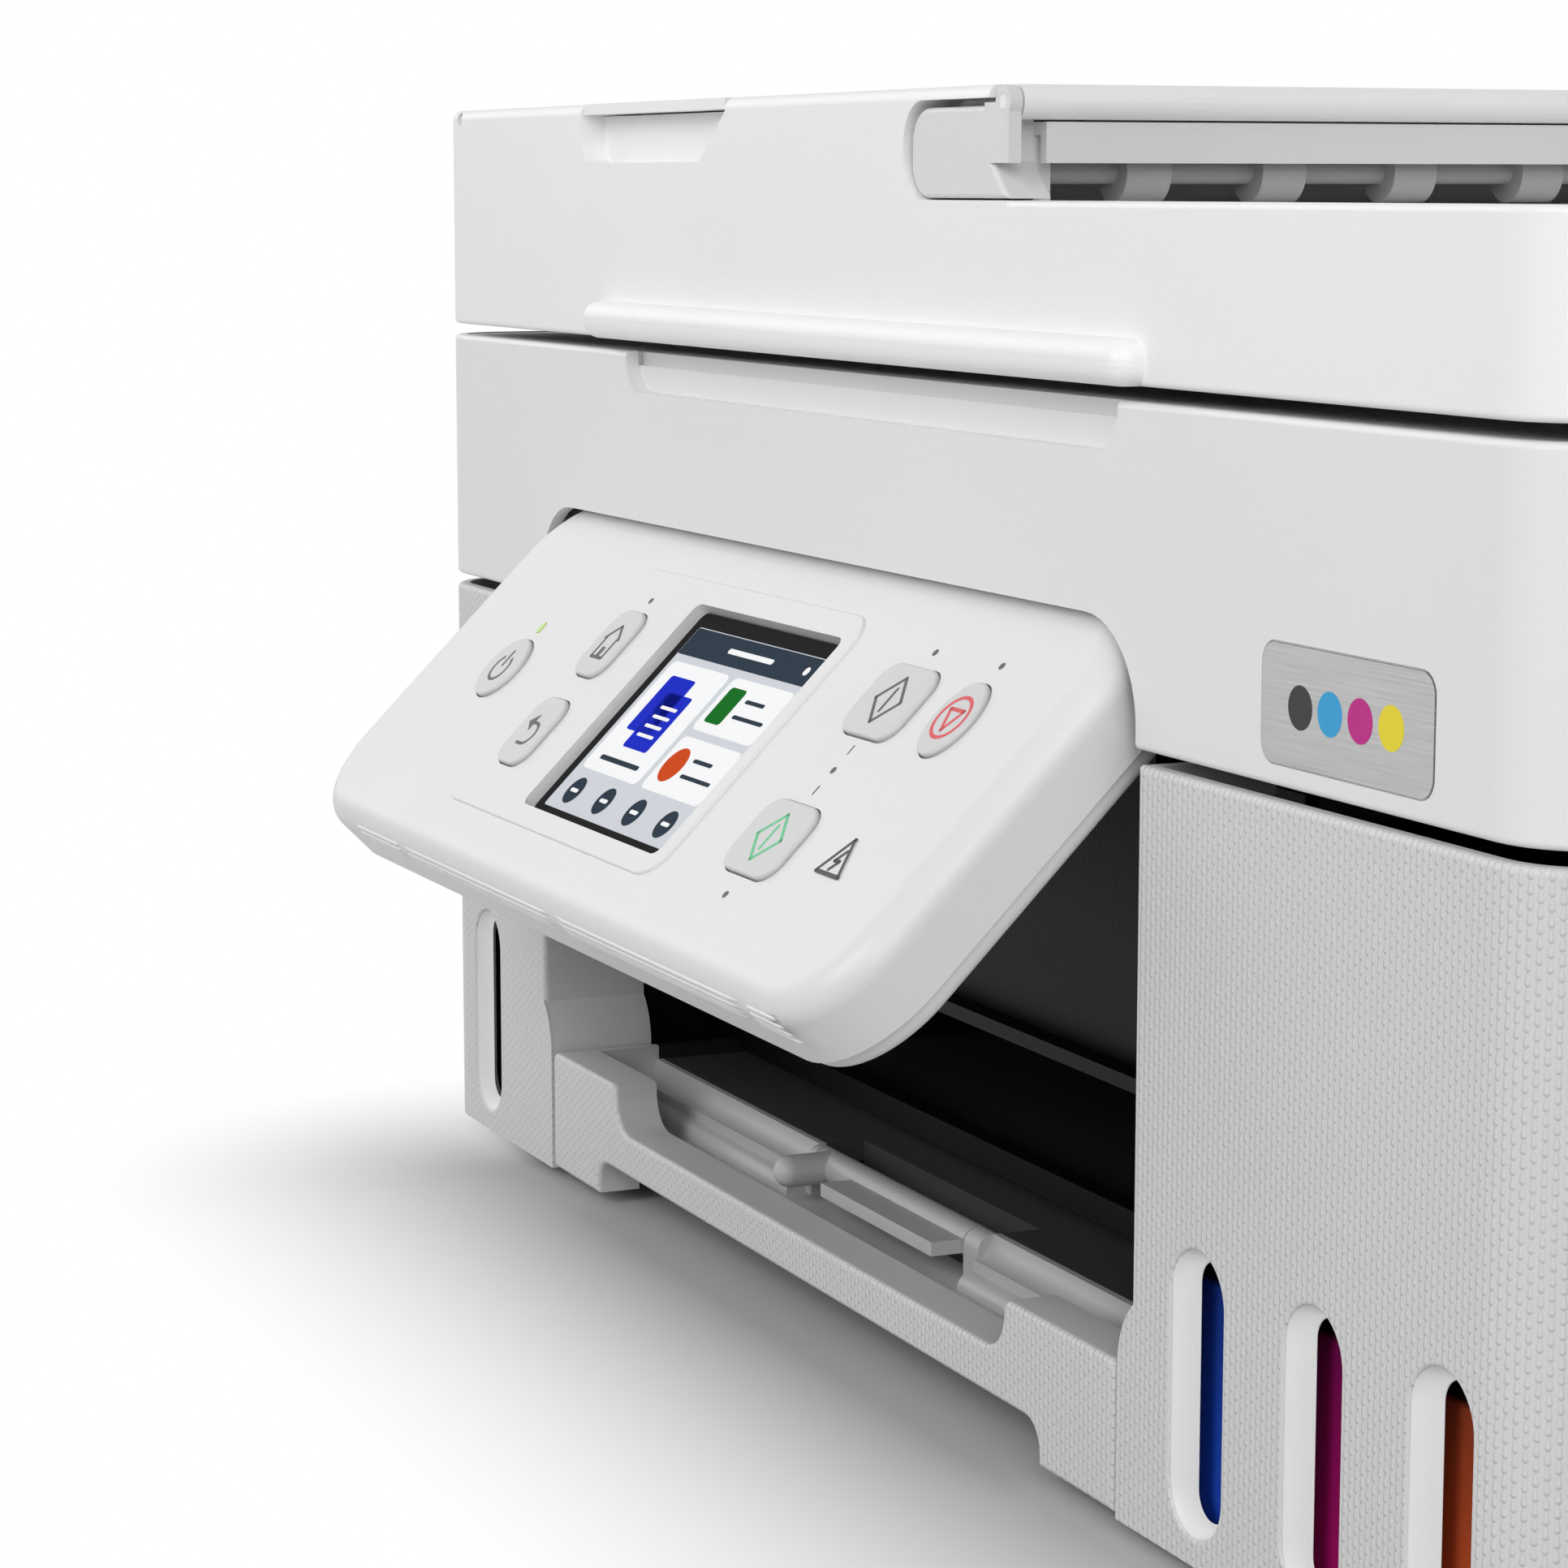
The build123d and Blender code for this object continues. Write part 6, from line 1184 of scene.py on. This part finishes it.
@dataclass
class KeyMarks:
    """Printed symbols on the keys, and the plain marks beside them.

    A dot between the two X of the raised pad lies on that pad.
    """

    line: float = 0.72
    film: float = 0.03
    alarm: Point = (71.6, -51.6)
    alarm_heights: Point = (0.15, 0.25)
    tick_x: float = 47.6
    tick_drops: tuple[float, ...] = (32.7, 41.2)
    tick_reach: float = 0.8
    tick_width: float = 0.4
    dots: tuple[Point, ...] = ((47.6, -37.0), (-64.6, -15.6), (47.6, -12.0), (70.1, -11.6), (47.6, -63.0))
    dot_radius: float = 0.7
    dot_sides: int = 20
    pad: Point = (-80.0, 20.0)
    pad_height: float = 0.5

    def build(self) -> None:
        """Prints every symbol on its key, and ticks, dots and the alarm mark on the panel."""
        for symbol in Symbol:
            key = symbol.value
            form = Form()
            for outline in key.drawing.outlines(key.middle, self.line):
                form.slab(outline, CASE.panel, key.top - self.film, key.top + self.film)
            form.piece(f"mark_{symbol.name.lower()}", key.ink, key.body, "key_grey")
        face = CASE.panel_face
        ticks = Form()
        x, reach = self.tick_x, self.tick_reach
        for drop in self.tick_drops:
            tick = stroke((x, -drop + reach), (x, -drop - reach), self.tick_width)
            ticks.slab(tick, CASE.panel, face, face + self.film)
        for dot in self.dots:
            raised = self.pad_height if self.pad[0] < dot[0] < self.pad[1] else 0.0
            outline = disc(dot, self.dot_radius, self.dot_sides)
            ticks.slab(outline, CASE.panel, face, face + raised + self.film)
        ticks.piece("mark_ticks", Finish.MARK, "panel", "key_grey")
        sign = Form()
        low, high = self.alarm_heights
        for outline in FLASH.outlines(self.alarm, self.line):
            sign.slab(outline, CASE.panel, face + low, face + high)
        sign.piece("mark_alarm", Finish.MARK_DARK, "panel", "key_grey")


@dataclass
class PanelRidges:
    """Fine grip ridges along the panel's lower edge, broken at the clips.

    Each ridge has a place along the edge's profile: 0 where the flat edge meets the rounded one, more
    towards the face.
    """

    left: float = -113.5
    right: float = 84.5
    first: float = 2.0
    pitch: float = 1.2
    count: int = 4
    stagger: Point = (0.9, 1.8)
    height: float = 0.32
    half: float = 0.32
    sunk: float = 0.03
    ends: float = 1.2
    clips: tuple[float, ...] = (-87.0, -8.5, 72.0)
    gap: float = 1.6
    round_steps: int = 7
    long_steps: int = 24

    def place(self, along: float) -> Placement:
        """Plane on the panel's lower edge at a place along its profile.

        On the rounded part the angle is the arc length over the radius, and the point is the arc's
        centre plus the radius times (cos, sin) of it, down the face and out of it.

        Args:
            along: arc length from the flat edge towards the face, in millimetres.

        Returns:
            The plane, with up along the profile and the normal out of the edge.
        """
        plane = CASE.panel
        out, down = np.array(plane.normal), -np.array(plane.up)
        turn = max(along, 0.0) / CASE.panel_edge
        normal = math.cos(turn) * down + math.sin(turn) * out
        centre = (CASE.panel_drop - CASE.panel_edge) * down + (CASE.panel_face - CASE.panel_edge) * out
        point = np.array(plane.origin) + centre + CASE.panel_edge * normal + min(along, 0.0) * out
        tangent = math.cos(turn) * out - math.sin(turn) * down
        return Placement(tuple(point), plane.across, tuple(tangent), tuple(normal))

    def build(self) -> None:
        """Builds each ridge as a half-round profile carried along X, tapered to nothing at both ends.

        The profile is (half cos a, height sin a) for a from 0 to 180 degrees, and its height follows
        a smooth rise s s (3 - 2 s) over the ends of each length.
        """
        form = Form()
        turn = np.linspace(0, math.pi, self.round_steps)
        stops = (self.left, *self.clips, self.right)
        for k in range(self.count):
            edge = self.place(self.first - k * self.pitch)
            for low, high in zip(stops[:-1], stops[1:]):
                start = low + (self.stagger[0] * k if low == self.left else self.gap)
                end = high + (self.stagger[1] * k if high == self.right else -self.gap)
                x = np.linspace(start, end, self.long_steps)
                rise = np.clip(np.minimum(x - start, end - x) / self.ends, 0, 1)
                rise = rise * rise * (3 - 2 * rise)
                across = np.repeat(x, len(turn))
                up = np.tile(self.half * np.cos(turn), len(x))
                lift = np.outer(self.height * rise, np.sin(turn)).ravel() - self.sunk
                points = edge.at(np.column_stack([across, up]), lift)
                form.grid(points.reshape(len(x), len(turn), 3))
        form.piece("panel_ridges", Finish.RIDGE, "panel", "panel_white", smooth=True)


@dataclass
class Badge:
    """Plain printed dots on the metal plate of the scanner unit."""

    centre: Point = (159.1, 131.5)
    radius: float = 3.1
    pitch: float = 7.6
    heights: Point = (0.08, 0.13)

    def build(self) -> None:
        """Prints four round dots in a row, one for each ink."""
        finishes = (Finish.MARK_DARK, Finish.DOT_CYAN, Finish.DOT_MAGENTA, Finish.DOT_YELLOW)
        for k, finish in enumerate(finishes):
            form = Form()
            middle = (self.centre[0] + (k - (len(finishes) - 1) / 2) * self.pitch, self.centre[1])
            form.slab(disc(middle, self.radius), CASE.face, *self.heights)
            form.piece(f"badge_dot_{k + 1}", finish, "scanner", "badge_metal")


@dataclass
class TankMarks:
    """Moulded level lines on the tanks' fronts, seen through the windows."""

    places: tuple[float, ...] = (-180.6, 121.9, 153.8, 185.7)
    setback: float = 4.9
    levels: tuple[float, ...] = (12.0, 40.0)
    reach: Point = (1.6, 5.4)
    line: float = 0.5
    film: float = 0.05

    def build(self) -> None:
        """Draws a low and a high level line beside a short upright on every tank."""
        form = Form()
        left, right = self.reach
        for x in self.places:
            outlines = [stroke((x + left, z), (x + right, z), self.line) for z in self.levels]
            outlines.append(stroke((x + right, self.levels[0]), (x + right, self.levels[1]), self.line / 2))
            for outline in outlines:
                form.slab(outline, CASE.face, -self.setback - self.film, -self.setback + self.film)
        form.piece("tank_level_lines", Finish.MARK_PALE, "base", "key_grey")


@dataclass
class WindowFlares:
    """Satin flares that lead from the case's face to a narrow slot before each tank.

    Sides and ends are how far the slot's edges stand in from the window's: left and right, foot and top.
    Depths are from the face: of the rim, of the slot's edge, and of the root on the window's wall.
    """

    places: tuple[float, ...] = TankMarks.places
    low: float = 6.2
    high: float = 49.4
    width: float = 15.1
    sides: Point = (5.6, 1.2)
    ends: Point = (2.8, 1.4)
    rim: float = 0.25
    depth: float = 2.0
    edge: float = 0.1
    root: float = 4.1
    grip: float = 0.15
    start: float = 45.0
    steps: int = 12

    def build(self) -> None:
        """Builds each flare as a cove carried round the window, closed behind by a sloping back.

        With a from the start angle to 90 degrees, its outline goes from the window's to the slot's by the
        share 1 - cos a / cos start, and its depth grows by (sin a - sin start) / (1 - sin start). The back
        returns from the slot's edge to the window's wall.
        """
        start = math.radians(self.start)
        turn = np.linspace(start, math.pi / 2, self.steps)
        sunk = (np.sin(turn) - math.sin(start)) / (1 - math.sin(start))
        cove = self.rim + (self.depth - self.rim) * sunk
        depth = np.append(cove, [self.depth + self.edge, self.root])
        share = np.append(1 - np.cos(turn) / math.cos(start), [1.0, 0.0])
        left, right = self.sides
        bottom, top = self.ends
        middle, height = (self.low + self.high) / 2, self.high - self.low
        wide, narrow = self.width + 2 * self.grip, self.width - left - right
        form = Form()
        for x in self.places:
            hole = (wide, height + 2 * self.grip)
            window = rounded_box((x, middle), hole, wide / 2 - self.grip, self.steps)
            centre = (x + (left - right) / 2, middle + (bottom - top) / 2)
            opening = (narrow, height - bottom - top)
            slot = rounded_box(centre, opening, narrow / 2 - self.grip, self.steps)
            outline = window[:, None] + share[:, None] * (slot - window)[:, None]
            points = CASE.face.at(outline.reshape(-1, 2), -np.tile(depth, len(window)))
            form.grid(points.reshape(len(window), len(share), 3), closed_u=True, closed_v=True)
        form.piece("window_flares", Finish.FLARE, "base", "white_case", smooth=True)


@dataclass
class BaySill:
    """Black bar across the bay, over the cassette, that the sheets slide over on their way out."""

    low: float = 24.2
    side_low: float = 26.9
    high: float = 29.2
    thickness: float = 4.0
    shoulder: float = 8.6
    slant: float = 1.4

    def build(self) -> None:
        """Builds the bar from its front outline, raised at both ends over the cassette's walls."""
        left, right = CASE.bay
        inner = (left + self.shoulder, right - self.shoulder)
        outline = np.array([
            (left, self.side_low), (inner[0], self.side_low), (inner[0] + self.slant, self.low),
            (inner[1] - self.slant, self.low), (inner[1], self.side_low), (right, self.side_low),
            (right, self.high), (left, self.high),
        ])
        form = Form()
        form.slab(outline, CASE.face, -CASE.sill_depth - self.thickness, -CASE.sill_depth)
        form.piece("bay_sill", Finish.BLACK, "base", "black_frame")


@dataclass
class InletPins:
    """The two contact pins in the power inlet."""

    centre: Point = (-118.0, 36.0)
    spread: float = 4.3
    radius: float = 1.15
    root: float = 14.0
    tip: float = 5.0
    steps: int = 6

    def build(self) -> None:
        """Turns each pin from its root to a rounded tip.

        The tip is a quarter circle of the pin's radius, from the side to the middle.
        """
        turn = np.linspace(0, math.pi / 2, self.steps)
        lift = self.radius * np.sin(turn) - self.tip - self.radius
        nose = np.column_stack([self.radius * np.cos(turn), lift])
        profile = np.vstack([(self.radius, -self.root), nose])
        form = Form()
        for side in (-1, 1):
            form.turned(profile, (-self.centre[0] + side * self.spread, self.centre[1]), CASE.rear)
        form.piece("inlet_pins", Finish.BRASS, "base", "steel", smooth=True)


@dataclass
class BaseScrews:
    """Pan-head screws with a cross recess that hold the base to the side covers from below."""

    places: tuple[Point, ...] = (
        (-180.0, 120.0), (-180.0, -20.0), (-180.0, -170.0), (180.0, 120.0), (180.0, -20.0), (180.0, -170.0),
    )
    seat: float = 4.5
    radius: float = 3.2
    height: float = 1.6
    steps: int = 8
    cross: float = 1.7
    cross_width: float = 0.7
    cross_heights: Point = (-0.4, 0.02)

    def build(self) -> None:
        """Turns each head as a quarter ellipse and lays a dark cross in it.

        The head is (radius cos a, height sin a) for a from 0 to 90 degrees.
        """
        turn = np.linspace(0, math.pi / 2, self.steps)
        head = np.column_stack([self.radius * np.cos(turn), self.height * np.sin(turn) - self.seat])
        heads, crosses = Form(), Form()
        low, high = (self.height - self.seat + step for step in self.cross_heights)
        for x, y in self.places:
            heads.turned(head, (x, y), CASE.underside)
            for dx, dy in ((self.cross, 0.0), (0.0, self.cross)):
                slot = stroke((x - dx, y - dy), (x + dx, y + dy), self.cross_width)
                crosses.slab(slot, CASE.underside, low, high)
        heads.piece("base_screws", Finish.STEEL, "base", "steel", smooth=True)
        crosses.piece("base_screw_crosses", Finish.MARK_DARK, "base", "steel")


@dataclass(frozen=True)
class SoftLamp:
    """A square soft lamp: where it hangs and its side, in metres, and its power in watts."""

    name: str
    place: Triple
    side: float
    power: float

    def hang(self, aim: Triple) -> None:
        """Adds the lamp to the scene.

        Args:
            aim: the point that it shines at, in metres.
        """
        data = bpy.data.lights.new(self.name, "AREA")
        data.size, data.energy = self.side, self.power
        lamp = bpy.data.objects.new(self.name, data)
        lamp.location = self.place
        lamp.rotation_euler = (Vector(self.place) - Vector(aim)).to_track_quat("Z", "Y").to_euler()
        bpy.context.scene.collection.objects.link(lamp)


@dataclass
class Studio:
    """Plain pale floor, soft lamps and the camera at the photograph's view.

    The camera's place and the fade's distances are in millimetres; lamps and floor rings are in metres.
    """

    eye: Triple = (615.26, -443.79, 201.64)
    ahead: Triple = (-0.90424, 0.40097, -0.14688)
    right: Triple = (0.40536, 0.91416, 0.0)
    down: Triple = (0.13427, -0.05954, -0.98915)
    focal_px: float = 4970.0
    frame_px: float = 1932.0
    sensor: float = 36.0
    clip: Point = (0.01, 50.0)
    fade: Point = (5.0, 95.0)
    fade_bend: float = 1.5
    fade_left: float = 58.0
    ambient: float = 0.3
    paper: str = "#bebebe"
    paper_roughness: float = 0.9
    paper_specular: float = 0.1
    rings: tuple[float, ...] = (0.0001, 0.3, 0.7, 1.5, 6.0)
    ring_sides: int = 96
    aim: Triple = (0.0, 0.0, 0.1)
    lamps: tuple[SoftLamp, ...] = (
        SoftLamp("lamp_back", (-0.5, 2.0, 0.8), 1.4, 11.0),
        SoftLamp("lamp_left", (-1.6, -0.9, 0.9), 1.2, 6.0),
        SoftLamp("lamp_right", (1.7, -0.7, 0.9), 1.0, 11.0),
        SoftLamp("lamp_front", (0.5, -1.9, 1.1), 1.2, 17.0),
    )

    def camera(self) -> None:
        """Sets the camera from its place, its axes and its focal length in the photograph's pixels."""
        lens = bpy.data.cameras.new("camera")
        lens.sensor_width = self.sensor
        lens.lens = self.focal_px / self.frame_px * self.sensor
        lens.clip_start, lens.clip_end = self.clip
        view = bpy.data.objects.new("camera", lens)
        axes = np.array([self.right, -np.array(self.down), -np.array(self.ahead)]).T
        view.matrix_world = Matrix.Translation([v * MM for v in self.eye]) @ Matrix(axes.tolist()).to_4x4()
        bpy.context.scene.collection.objects.link(view)
        bpy.context.scene.camera = view

    def shown(self, tree: Tree) -> Socket:
        """Marks the rays that show the background: from the camera, off gloss and through glass.

        Args:
            tree: the node tree that asks.

        Returns:
            A socket that is 1 for such a ray and 0 for any other.
        """
        rays = add_node(tree, "ShaderNodeLightPath").outputs
        bent = add_node(
            tree, "ShaderNodeMath", {"operation": "MAXIMUM"},
            {0: rays["Is Glossy Ray"], 1: rays["Is Transmission Ray"]},
        )
        return add_node(
            tree, "ShaderNodeMath", {"operation": "MAXIMUM"}, {0: rays["Is Camera Ray"], 1: bent.outputs[0]}
        ).outputs[0]

    def backdrop(self) -> Material:
        """Makes the floor's matt paper, which keeps the shadow by the printer and is plain white further out.

        The shadow's share is (1 - distance share) to the power of the bend. The distance is the length of
        how far a point lies outside the footprint's half sizes, both ways, where the footprint is cut
        short on the left, the side that the shadow leaves first.

        Returns:
            The new material.
        """
        material = bpy.data.materials.new("paper_backdrop")
        material.use_nodes = True
        tree = material.node_tree
        tree.nodes.clear()
        place = add_node(tree, "ShaderNodeTexCoord").outputs["Object"]
        centred = add_node(
            tree, "ShaderNodeVectorMath", {"operation": "SUBTRACT"},
            {0: place, 1: (self.fade_left / 2 * MM, (CASE.front + CASE.back) / 2 * MM, 0.0)},
        )
        size = add_node(tree, "ShaderNodeVectorMath", {"operation": "ABSOLUTE"}, {0: centred.outputs[0]})
        over = add_node(
            tree, "ShaderNodeVectorMath", {"operation": "SUBTRACT"},
            {0: size.outputs[0], 1: ((CASE.half_width - self.fade_left / 2) * MM, CASE.depth / 2 * MM, 0.0)},
        )
        outside = add_node(
            tree, "ShaderNodeVectorMath", {"operation": "MAXIMUM"}, {0: over.outputs[0], 1: (0, 0, 0)}
        )
        far = add_node(tree, "ShaderNodeVectorMath", {"operation": "LENGTH"}, {0: outside.outputs[0]})
        near = add_node(
            tree, "ShaderNodeMapRange", None,
            {
                "Value": far.outputs["Value"], "From Min": self.fade[0] * MM, "From Max": self.fade[1] * MM,
                "To Min": 1.0, "To Max": 0.0,
            },
        )
        shadow = add_node(
            tree, "ShaderNodeMath", {"operation": "POWER"}, {0: near.outputs[0], 1: self.fade_bend}
        )
        white_share = add_node(
            tree, "ShaderNodeMath", {"operation": "SUBTRACT"}, {0: 1.0, 1: shadow.outputs[0]}
        )
        part = add_node(
            tree, "ShaderNodeMath", {"operation": "MULTIPLY"},
            {0: white_share.outputs[0], 1: self.shown(tree)},
        )
        paper = add_node(
            tree, "ShaderNodeBsdfPrincipled", None,
            {
                "Base Color": linear(self.paper),
                "Roughness": self.paper_roughness,
                "Specular IOR Level": self.paper_specular,
            },
        )
        white = add_node(tree, "ShaderNodeEmission", None, {"Color": (1, 1, 1, 1), "Strength": 1.0})
        mix = add_node(
            tree, "ShaderNodeMixShader", None,
            {0: part.outputs[0], 1: paper.outputs[0], 2: white.outputs[0]},
        )
        add_node(tree, "ShaderNodeOutputMaterial", None, {"Surface": mix.outputs[0]})
        return material

    def floor(self) -> None:
        """Lays the floor as a wide disc: each ring's radius times (cos a, sin a) for angles a round it."""
        turn = np.linspace(0, 2 * math.pi, self.ring_sides, endpoint=False)
        radius = np.array(self.rings)
        x = radius[None] * np.cos(turn)[:, None]
        y = radius[None] * np.sin(turn)[:, None]
        form = Form()
        form.grid(np.stack([x, y, np.zeros_like(x)], -1), closed_u=True, flip=True)
        form.mesh("floor", self.backdrop())

    def world(self) -> None:
        """White to the eye and in reflections, a softer even light for everything else."""
        world = bpy.data.worlds.new("studio")
        bpy.context.scene.world = world
        world.use_nodes = True
        tree = world.node_tree
        tree.nodes.clear()
        strength = add_node(
            tree, "ShaderNodeMath", {"operation": "MULTIPLY_ADD"},
            {0: self.shown(tree), 1: 1.0 - self.ambient, 2: self.ambient},
        )
        light = add_node(
            tree, "ShaderNodeBackground", None, {"Color": (1, 1, 1, 1), "Strength": strength.outputs[0]}
        )
        add_node(tree, "ShaderNodeOutputWorld", None, {"Surface": light.outputs[0]})

    def build(self) -> None:
        """Sets up the floor, the light and the camera."""
        self.floor()
        self.world()
        for lamp in self.lamps:
            lamp.hang(self.aim)
        self.camera()
        bpy.context.scene.view_settings.view_transform = "Standard"


def main() -> None:
    """Builds the printer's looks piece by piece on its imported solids."""
    logging.basicConfig(level=logging.INFO, format="%(message)s")
    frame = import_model()
    Shell().dress(frame["nodes"])
    for assembly in (
        Display(), KeyMarks(), PanelRidges(), Badge(), TankMarks(), WindowFlares(), BaySill(), InletPins(),
        BaseScrews(),
    ):
        assembly.build()
    Studio().build()


if __name__ == "__main__":
    main()
